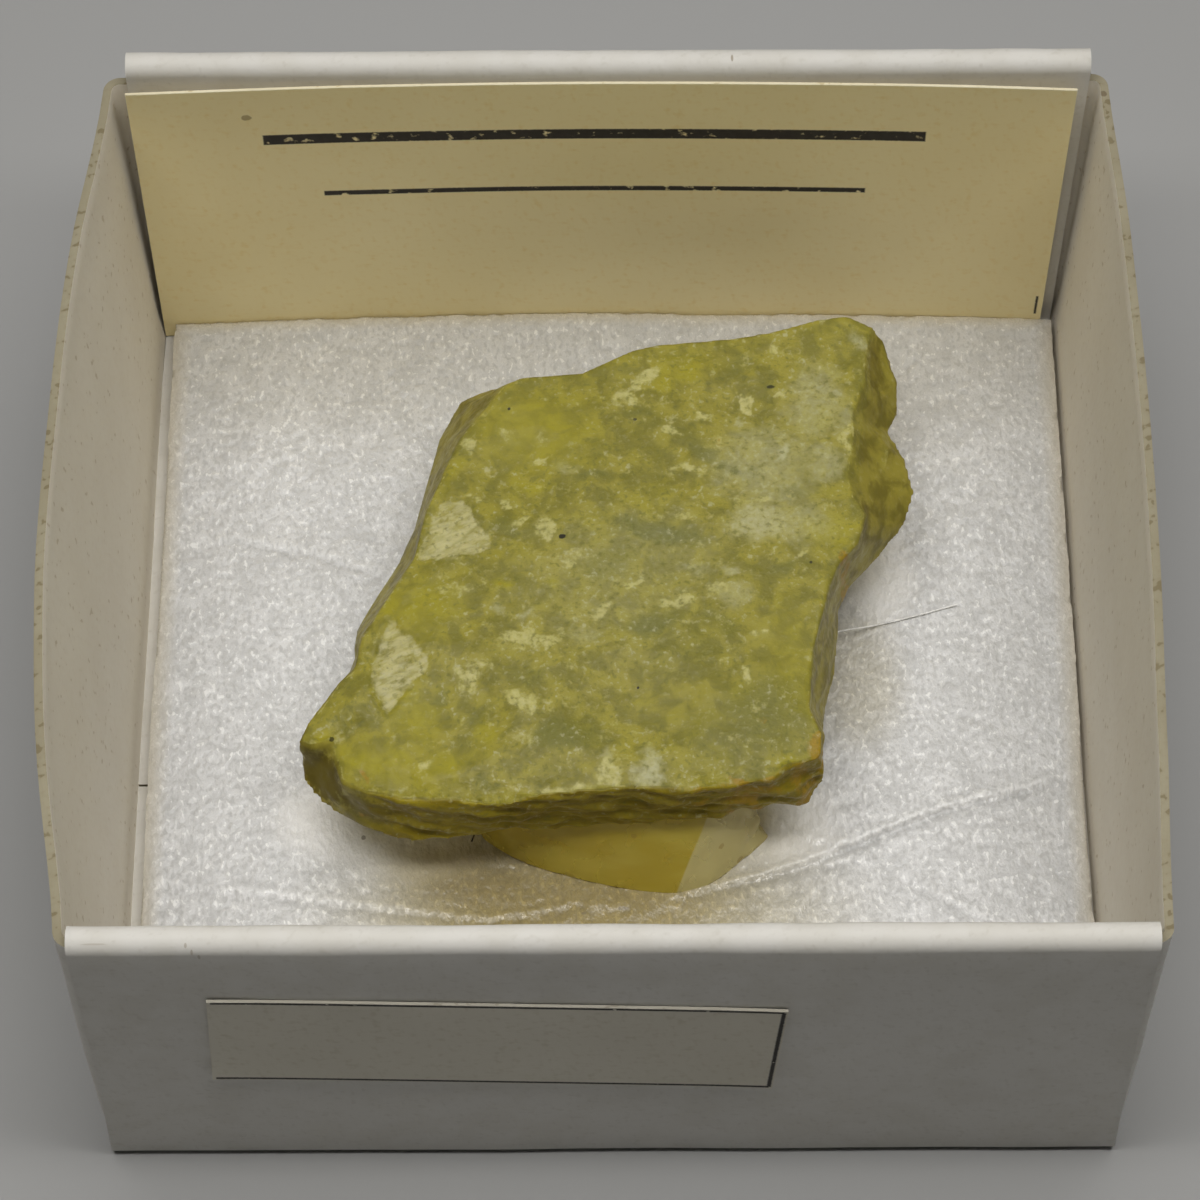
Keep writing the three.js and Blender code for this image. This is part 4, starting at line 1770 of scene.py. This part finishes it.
@dataclass
class BrokenStone:
    """The serpentine: a slab with a flat broken top, flaked edges and rough layered flanks."""

    voxel: float = 0.12
    bond_z: float = 5.35
    shade_from: float = 9.6
    front_y: float = -4.5
    left_x: float = -10.8
    level_from: float = 0.74
    level_span: float = 0.17
    seed: int = 260
    chips: tuple[Chip, ...] = (
        Chip((
            (-9.4, -0.5), (-8.5, -1.5), (-7.4, -2.6), (-7.5, -3.4), (-8.3, -4.2), (-9.3, -5.6), (-10.3, -3.7),
        ), 0.24, 0.06),
        Chip((
            (-7.4, 4.9), (-6.1, 4.9), (-5.2, 3.4), (-4.8, 2.2), (-6.4, 1.7), (-8.2, 1.7), (-8.3, 2.5),
        ), 0.14, 0.035),
    )
    scoops: tuple[Scoop, ...] = (
        Scoop((-12.9, -8.0, 8.1), (1.4, 1.4, 1.4)),
        Scoop((-2.2, -11.4, 11.2), (4.2, 3.0, 2.6), (8, 0, 6)),
        Scoop((-9.3, -11.0, 10.6), (2.4, 2.6, 2.2)),
        Scoop((14.9, 11.1, 11.1), (4.0, 6.4, 4.0)),
        Scoop((14.9, 6.8, 12.1), (5.0, 7.0, 5.0)),
        Scoop((10.0, -4.0, 11.0), (2.0, 3.0, 2.0)),
        Scoop((7.0, -10.6, 10.4), (3.0, 2.2, 2.0)),
        Scoop((-11.2, 0.6, 11.2), (1.9, 3.4, 2.2), (0, 0, -24)),
        Scoop((-8.9, 6.6, 11.6), (1.8, 3.2, 2.3), (0, 0, -22)),
        Scoop((-2.6, 14.0, 11.6), (4.0, 2.8, 2.4), (0, 0, 10)),
        Scoop((5.0, 15.8, 11.8), (5.0, 3.0, 2.6)),
        Scoop((-4.0, 6.0, 24.6), (15.0, 15.0, 15.0)),
        Scoop((5.5, 9.0, 21.7), (12.0, 12.0, 12.0)),
        Scoop((3.0, 1.0, 29.7), (20.0, 20.0, 20.0)),
        Scoop((1.0, -6.0, 23.4), (14.0, 14.0, 14.0)),
        Scoop((-8.0, -6.6, 23.1), (14.0, 14.0, 14.0)),
    )
    cream: tuple[Stroke, ...] = Stroke.each(
        (1.4, 10.9, 1.0, 0.35, 49, 0.9), (2.6, 8.0, 0.53, 0.35, 17, 0.8), (4.1, 9.0, 0.38, 0.26, 0, 0.9),
        (7.3, 12.1, 0.34, 0.22, 0, 0.5), (-3.8, 3.7, 0.42, 0.26, 17, 0.8), (-2.8, 3.3, 0.27, 0.7, 0, 0.6),
        (0.6, 9.8, 0.61, 0.35, -23, 0.7), (-5.8, 4.9, 0.34, 0.17, 0, 0.8), (-4.5, 4.6, 0.3, 0.26, 0, 0.6),
        (-3.4, 6.7, 0.38, 0.17, 0, 0.7), (-2.7, 7.8, 0.23, 0.48, 0, 0.55),
        (-4.5, 7.9, 0.57, 0.39, -34, 0.4), (-6.3, 7.5, 0.23, 0.35, 0, 0.7), (-5.9, 8.8, 0.1, 1.0, -46, 0.8),
        (-3.3, -2.2, 1.3, 0.44, 6, 0.75), (-3.7, -5.0, 0.57, 0.66, 0, 0.75),
        (-6.5, 0.4, 0.68, 0.35, 0, 0.5), (-7.7, -7.6, 0.27, 0.22, 0, 0.9), (-6.0, -3.7, 0.23, 0.22, 0, 1),
        (-6.0, -3.7, 0.65, 0.61, 0, 0.45), (1.0, 0.6, 0.42, 0.17, 6, 0.95),
        (6.3, -2.0, 0.34, 0.22, 0, 0.85), (5.7, -3.9, 0.34, 0.22, -23, 0.7),
        (0.1, -8.3, 0.57, 0.61, 0, 0.9), (-1.2, -8.9, 1.0, 0.39, 14, 0.85),
        (-2.7, -9.4, 1.4, 0.31, 14, 0.8), (8.6, -2.6, 0.15, 2.4, 2, 0.45), (8.0, 2.2, 0.38, 0.31, 0, 0.55),
        (3.3, 6.2, 0.68, 0.26, 0, 0.55), (5.7, 9.6, 0.19, 0.17, 0, 0.9), (7.5, 9.8, 0.19, 0.22, 0, 0.7),
        (3.2, -0.2, 1.1, 0.52, 11, 0.5), (4.6, 0.3, 0.38, 0.52, 0, 0.5), (-0.5, -0.7, 0.61, 0.35, 0, 0.45),
        (10.4, 7.7, 0.23, 1.7, 0, 0.4), (6.4, 4.7, 0.76, 0.22, 11, 0.5), (-1.7, 1.8, 0.38, 0.35, 0, 0.45),
        (3.4, 3.7, 0.53, 0.31, 0, 0.4),
    )
    cloud: tuple[Stroke, ...] = Stroke.each(
        (7.3, 6.9, 0.42, 0.74, -17, 1), (6.4, 3.6, 1.6, 0.96, 0, 0.75), (9.1, 6.6, 0.99, 0.87, 0, 0.5),
        (9.7, 10.2, 0.53, 0.26, -23, 0.6), (5.5, 8.5, 0.19, 0.31, 0, 0.8), (5.0, 1.1, 0.3, 0.26, 0, 0.6),
        (1.4, -8.1, 0.42, 1.0, 0, 0.9), (5.2, 0.0, 0.68, 0.57, 0, 0.45), (-3.7, -0.8, 0.3, 0.26, 0, 0.6),
        (-4.7, -0.7, 0.23, 0.22, 0, 0.5), (-0.1, -7.6, 0.38, 0.35, 0, 0.5),
        (11.1, 12.2, 0.3, 1.0, 28, 0.55), (9.1, 10.3, 0.3, 0.13, -28, 0.9),
        (-1.0, -2.1, 0.76, 0.39, 0, 0.35), (3.4, 1.3, 0.84, 0.39, -9, 0.4),
        (-1.9, 6.3, 0.61, 0.44, 0, 0.35), (10.1, 8.7, 0.38, 1.1, 0, 0.4), (-6.9, 3.0, 0.68, 0.96, 0, 0.4),
        (6.6, 6.4, 2.6, 2.2, -20, 0.46), (8.9, 9.6, 1.3, 2.0, 0, 0.52), (7.6, 3.6, 2.0, 1.2, 0, 0.46),
        (0.5, 1.0, 4.5, 3.5, 20, 0.18),
    )
    slate: tuple[Stroke, ...] = Stroke.each(
        (4.0, 7.1, 0.68, 0.39, -28, 0.8), (5.3, 6.1, 1.1, 0.35, -11, 0.85), (7.8, 5.2, 0.68, 0.26, 0, 0.7),
        (2.2, 3.0, 2.1, 0.61, -9, 0.95), (7.5, 1.4, 0.53, 0.35, 0, 0.7), (1.4, 9.0, 0.53, 0.26, 11, 0.75),
        (7.1, 10.4, 0.3, 0.22, 0, 1), (-0.6, 5.7, 0.99, 0.35, 6, 0.65), (-4.3, 3.3, 0.84, 0.57, -17, 0.65),
        (-0.2, 1.5, 1.3, 0.96, 0, 0.5), (-3.4, -3.7, 1.4, 0.35, 0, 0.45), (-1.9, -6.5, 1.4, 0.79, 11, 0.8),
        (-7.4, -4.6, 0.38, 0.44, 0, 0.6), (-4.8, -8.5, 0.53, 0.26, 11, 0.6),
        (1.7, -1.4, 1.4, 0.52, 6, 0.95), (6.3, -5.3, 0.3, 0.35, 0, 0.8), (5.1, -6.6, 2.4, 1.8, 0, 0.35),
        (-0.8, -6.9, 1.1, 0.35, 0, 0.5), (5.6, 11.6, 0.46, 0.66, 0, 0.5), (0.6, 11.3, 0.46, 0.39, 0, 0.5),
        (4.4, -1.3, 0.99, 0.44, 0, 0.5), (3.3, -2.6, 2.3, 1.3, 0, 0.3), (-5.5, -5.5, 0.53, 0.39, 0, 0.5),
        (6.3, -5.6, 2.0, 1.9, 0, 0.62), (-11.2, -5.6, 0.9, 0.6, 30, 0.35), (3.0, 8.1, 1.6, 0.5, -24, 0.4),
    )
    yellow: tuple[Stroke, ...] = Stroke.each(
        (2.9, 11.3, 1.4, 1.0, 17, 0.75), (-3.0, 8.0, 2.7, 2.2, 0, 0.6), (-3.4, 5.5, 1.1, 0.48, 0, 0.7),
        (8.9, 8.9, 0.68, 0.87, 0, 0.7), (8.1, 11.1, 0.53, 0.31, 0, 0.75), (9.3, 3.1, 1.1, 1.0, 0, 0.85),
        (-9.9, -7.5, 1.7, 0.95, -12, 0.85), (-8.3, -5.7, 0.9, 1.5, 28, 0.6),
        (-7.3, -7.9, 1.5, 0.7, 20, 0.7), (-8.7, -9.0, 2.0, 0.44, 0, 0.9), (-8.0, -5.0, 0.61, 0.87, 23, 0.7),
        (-5.3, -6.4, 0.68, 0.74, 0, 0.75), (-7.6, -0.4, 1.5, 1.5, 0, 0.65), (-4.5, 0.5, 0.46, 0.35, 0, 0.9),
        (-2.3, 0.5, 0.38, 0.35, 0, 0.9), (7.5, -3.1, 0.91, 2.6, 0, 0.4), (7.5, -7.6, 0.91, 0.66, 0, 0.7),
        (-3.8, -9.5, 1.7, 0.35, 0, 0.6), (-6.8, 6.3, 0.3, 1.3, -28, 0.5), (3.6, -8.0, 1.6, 0.87, 0, 0.4),
        (-9.4, -0.1, 0.76, 1.4, 34, 0.6), (-0.4, 3.7, 0.99, 0.61, 0, 0.4), (1.8, 4.7, 1.1, 0.87, 0, 0.35),
        (-12.1, -6.6, 0.68, 0.61, 0, 1), (5.3, -4.5, 0.76, 0.44, 0, 0.4),
    )
    ochre: tuple[Stroke, ...] = Stroke.each(
        (5.7, -8.6, 1.3, 0.32, 14, 0.95), (8.5, -6.9, 0.4, 0.8, 0, 0.85), (8.0, -8.0, 0.7, 0.5, 0, 0.9),
        (9.9, 1.9, 0.27, 0.35, 0, 0.9), (8.9, -0.8, 0.15, 0.57, 0, 0.7), (-4.5, 0.4, 0.27, 0.22, 0, 0.7),
        (-2.3, 0.4, 0.27, 0.22, 0, 0.6), (-10.2, -8.4, 0.27, 0.31, 0, 1), (6.3, -6.3, 0.27, 0.22, 0, 0.7),
        (-5.9, -9.8, 0.61, 0.13, 0, 0.9), (3.6, -9.0, 0.99, 0.13, 3, 0.6), (9.7, 3.7, 0.3, 0.61, 0, 0.5),
    )
    smooth: tuple[Stroke, ...] = Stroke.each(
        (-3.4, 8.3, 2.7, 1.8), (-9.8, -7.4, 2.4, 1.3, -12, 0.9), (-8.2, -5.7, 1.3, 2.0, 28, 0.7),
        (-6.9, -8.0, 1.9, 0.9, 18, 0.7), (3.3, -5.2, 2.5, 1.6, 0, 0.8), (7.1, -2.2, 1.3, 2.6, 0, 0.8),
        (8.1, 5.9, 1.3, 1.0, 0, 0.6), (-1.1, -8.9, 1.7, 0.7, 14), (-8.8, -0.6, 1.3, 1.7, 34, 0.8),
        (1.2, -4.5, 1.1, 0.87, 0, 0.5),
    )
    # Painted shade: dark patches in the hollows under the left lobe and the nose, and in two scoops on the
    # right.
    hollows: tuple[Mark, ...] = Mark.each(
        ((-12.3, -7.6, 7.5), (1.3, 1.3, 1.3), 0.8), ((-10.6, -8.9, 7.4), (1.5, 0.8, 0.8), 0.6),
        ((11.6, 12.0, 9.0), (0.5, 1.2, 0.7), 0.35), ((10.9, 4.0, 8.9), (0.4, 1.1, 0.7), 0.4),
    )
    specks: tuple[Mark, ...] = Mark.each(
        ((-2.05, 2.86, 9.8), (0.14, 0.12, 0.5), 1.0), ((1.11, -4.32, 9.8), (0.07, 0.07, 0.5), 1.0),
        ((-4.34, 9.32, 9.7), (0.07, 0.07, 0.5), 0.9), ((7.0, 10.34, 9.8), (0.16, 0.08, 0.5), 0.8),
        ((1.09, 8.73, 9.8), (0.10, 0.08, 0.5), 0.8), ((8.47, 1.58, 9.8), (0.06, 0.06, 0.5), 0.8),
        ((9.19, 0.06, 9.8), (0.06, 0.06, 0.5), 0.8), ((-11.6, -6.3, 8.7), (0.12, 0.10, 0.6), 0.8),
        ((-5.04, -9.82, 8.3), (0.13, 0.3, 0.13), 1.0),
    )

    def build(self) -> Piece:
        """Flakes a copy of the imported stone, makes it fine, roughens it and paints its masks.

        Returns:
            The finished stone.
        """
        noise.seed_set(self.seed)
        stone = Bench.copy_of("serpentine_rock", "broken_serpentine")
        for scoop in self.scoops:
            self.cut(stone, self.ball(scoop))
        Bench.modify(stone, "REMESH", mode="VOXEL", voxel_size=self.voxel)
        Bench.modify(stone, "SMOOTH", factor=0.5, iterations=1)
        facing = Bench.normals(stone)[:, 2]
        top = np.clip((facing - self.level_from) / self.level_span, 0, 1)
        rim = 1 - np.abs(2 * top - 1)
        places = Bench.points(stone)
        front = np.clip((self.front_y - places[:, 1]) / 3.0, 0, 1)
        front *= np.clip((places[:, 0] - self.left_x) / 1.8, 0, 1)
        loose = places[:, 2] > self.bond_z + 0.2
        Bench.weigh(stone, "top", top)
        Bench.weigh(stone, "rough", (1 - top) * loose * (0.07 + 0.93 * front))
        Bench.roughen(stone, "CLOUDS", 2.0, 0.16, "top", noise_depth=2)
        Bench.roughen(stone, "CLOUDS", 0.55, 0.06, "top", noise_depth=2)
        Bench.roughen(stone, "VORONOI", 1.1, 0.24, "rough", distance_metric="DISTANCE", noise_intensity=1.0)
        Bench.roughen(stone, "CLOUDS", 0.6, 0.10, "rough", noise_depth=2)
        chips = self.sink_chips(stone, top)
        self.nick_rim(stone, rim * loose, front)
        self.mask(stone, top, rim, front, chips)
        Bench.dress(stone, Serpentine(hollows=self.hollows, marks=self.specks))
        return Bench.finish(stone, "serpentine", "serpentine_rock", 80)

    @staticmethod
    def ball(scoop: Scoop) -> Piece:
        """Makes the rounded cutter of one scoop.

        Args:
            scoop: its place, size and turn.

        Returns:
            The cutter, settled.
        """
        Bench.let_go()
        bpy.ops.mesh.primitive_ico_sphere_add(subdivisions=5, radius=1, location=scoop.centre)
        cutter = bpy.context.object
        cutter.scale = scoop.radii
        cutter.rotation_euler = [math.radians(a) for a in scoop.turn]
        return Bench.settle(cutter)

    @staticmethod
    def cut(stone: Piece, cutter: Piece) -> None:
        """Takes a cutter's shape out of the stone and puts the cutter away."""
        Bench.modify(stone, "BOOLEAN", object=cutter, operation="DIFFERENCE", solver="EXACT")
        bpy.data.objects.remove(cutter)

    def sink_chips(self, stone: Piece, top: np.ndarray) -> np.ndarray:
        """Sinks the chips into the top, with fine ribs running across them.

        Args:
            stone: the stone.
            top: how much each corner belongs to the top face.

        Returns:
            How much each corner belongs to a chip.
        """
        places = Bench.points(stone)
        wobble = np.array([noise.noise_vector(Vector(p) * 2.6) for p in places])[:, :2] * 0.16
        whole = np.zeros(len(places))
        for chip in self.chips:
            left = min(x for x, _ in chip.outline)
            share = np.clip(self.within(places[:, :2] + wobble, chip.outline) / 0.3, 0, 1) * top
            ribs = 0.022 * np.sin(places[:, 1] * 13 - places[:, 0] * 4.8 + 6 * wobble[:, 0] / 0.16)
            depth = np.clip(chip.depth - chip.rise * (places[:, 0] - left), 0.02, None)
            places[:, 2] -= share * (depth + ribs)
            whole = np.maximum(whole, share)
        Bench.press(stone, places)
        return whole

    @staticmethod
    def nick_rim(stone: Piece, rim: np.ndarray, front: np.ndarray) -> None:
        """Breaks the rim with small nicks, and steps the front flank like thin layers.

        Args:
            stone: the stone.
            rim: how much each corner belongs to the rim.
            front: how much each corner belongs to the front.
        """
        places, normals = Bench.points(stone), Bench.normals(stone)
        nicks = np.array([noise.noise(Vector(p) * 1.9) for p in places])
        layers = np.array([noise.noise(Vector((x * 0.6, y * 0.7, z * 2.2 + 0.5 * x))) for x, y, z in places])
        nicked = rim * (0.35 + 0.65 * front) * np.clip(nicks, 0, None) ** 1.5 * 0.5
        stepped = (1 - rim) * front * (1 - np.abs(normals[:, 2])) * layers * 0.24
        Bench.press(stone, places - normals * (nicked + stepped)[:, None])

    def mask(
        self, stone: Piece, top: np.ndarray, rim: np.ndarray, front: np.ndarray, chips: np.ndarray
    ) -> None:
        """Paints the masks that guide the stone's colours.

        Args:
            stone: the finished shape.
            top: how much each corner belongs to the top face.
            rim: how much each corner belongs to the rim.
            front: how much each corner belongs to the front.
            chips: how much each corner belongs to a chip.
        """
        places = Bench.points(stone)
        wobble = np.array([
            noise.noise_vector(Vector(p) * 0.9) * 0.6 + noise.noise_vector(Vector(p) * 3.1) * 0.18
            for p in places
        ])
        flat = places[:, :2] + wobble[:, :2]
        cream, slate, yellow, cloud, smooth = (
            self.strokes(flat, layer) * (0.25 + 0.75 * top)
            for layer in (self.cream, self.slate, self.yellow, self.cloud, self.smooth)
        )
        # flank: steep faces below the top, which take the darker flank colours, partly as painted shade
        flank = np.clip(1 - top * 1.4, 0, 1) * np.clip((self.shade_from - places[:, 2]) / 0.5, 0.35, 1)
        Bench.paint(stone, "stains", cream, slate, yellow)
        Bench.paint(stone, "areas", chips, self.strokes(flat, self.ochre), flank * (0.5 + 0.5 * front))
        # glaze: pale clouds; the rim, paled partly as painted highlight; and the smooth zones
        Bench.paint(stone, "glaze", cloud, rim, np.maximum(smooth, flank * (1 - front)))

    @staticmethod
    def strokes(flat: np.ndarray, strokes: Sequence[Stroke]) -> np.ndarray:
        """Adds up soft strokes into one mask.

        Args:
            flat: x and y of each corner.
            strokes: the strokes.

        Returns:
            The mask, from 0 to 1.
        """
        mask = np.zeros(len(flat))
        for stroke in strokes:
            angle = math.radians(stroke.turn)
            dx, dy = flat[:, 0] - stroke.x, flat[:, 1] - stroke.y
            along = (dx * math.cos(angle) + dy * math.sin(angle)) / stroke.reach
            across = (dy * math.cos(angle) - dx * math.sin(angle)) / stroke.breadth
            soft = np.clip(1.35 - np.hypot(along, across), 0, 1)
            mask = np.maximum(mask, stroke.strength * soft * soft * (3 - 2 * soft))
        return mask

    @staticmethod
    def within(flat: np.ndarray, outline: Sequence[tuple[float, float]]) -> np.ndarray:
        """Measures how far inside an outline each corner lies.

        Args:
            flat: x and y of each corner.
            outline: the outline's corners.

        Returns:
            The distance to the outline, negative outside it.
        """
        odd = np.zeros(len(flat), bool)
        nearest = np.full(len(flat), np.inf)
        for (ax, ay), (bx, by) in zip(outline, (*outline[1:], outline[0])):
            spans = (ay > flat[:, 1]) != (by > flat[:, 1])
            crossing = ax + (flat[:, 1] - ay) * (bx - ax) / ((by - ay) or 1e-9)
            odd ^= spans & (flat[:, 0] < crossing)
            run = np.array((bx - ax, by - ay))
            share = np.clip((flat - (ax, ay)) @ run / (run @ run), 0, 1)
            nearest = np.minimum(nearest, np.linalg.norm(flat - (ax, ay) - share[:, None] * run, axis=1))
        return np.where(odd, nearest, -nearest)


@dataclass
class StrayLint:
    """The fine pale thread by the stone's right edge, and the short dark hair by the glue."""

    thread: tuple[Triple, ...] = (
        (9.3, 1.2, 4.2), (10.3, 2.0, 3.2), (11.6, 2.65, 2.45), (13.4, 3.2, 2.30), (15.3, 3.8, 2.26),
    )
    hair: tuple[Triple, ...] = ((-5.85, -7.5, 2.5), (-5.88, -7.7, 2.62), (-5.97, -7.9, 2.5))
    thread_radius: float = 0.038
    hair_radius: float = 0.035

    def build(self) -> list[Piece]:
        """Draws both.

        Returns:
            The thread and the hair.
        """
        pale, dark = Lint("pale_lint", (0.95, 0.95, 0.94, 1)), Lint("dark_lint", (0.05, 0.03, 0.02, 1))
        thread = self.draw("stray_thread", self.thread, self.thread_radius, pale)
        return [thread, self.draw("stray_hair", self.hair, self.hair_radius, dark)]

    @staticmethod
    def draw(name: str, path: Sequence[Triple], radius: float, finish: Finish) -> Piece:
        """Draws one fibre along a smooth path and makes it a mesh.

        Args:
            name: the fibre's name.
            path: the points that it passes.
            radius: its radius.
            finish: its finish.

        Returns:
            The finished fibre.
        """
        Bench.let_go()
        bpy.ops.curve.primitive_bezier_curve_add()
        curve = bpy.context.object
        curve.name = name
        curve.data.splines.clear()
        spline = curve.data.splines.new("BEZIER")
        spline.bezier_points.add(len(path) - 1)
        for point, place in zip(spline.bezier_points, path):
            point.co = place
            point.handle_left_type = point.handle_right_type = "AUTO"
        curve.data.bevel_depth, curve.data.bevel_resolution, curve.data.use_fill_caps = radius, 3, True
        Bench.take(curve)
        bpy.ops.object.convert(target="MESH")
        fibre = Bench.settle(bpy.context.object)
        Bench.dress(fibre, finish)
        return Bench.finish(fibre, "foam")


def main() -> None:
    """Builds the studio and every piece."""
    logging.basicConfig(level=logging.INFO, format="%(name)s: %(message)s")
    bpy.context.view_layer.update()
    studio = Studio()
    studio.camera()
    studio.lights()
    studio.floor()
    tray_and_papers = (FoldedTray(), FoamLiner(), NameCard(), NumberSticker())
    for maker in (*tray_and_papers, GlueLump(), BrokenStone(), StrayLint()):
        maker.build()


if __name__ == "__main__":
    main()
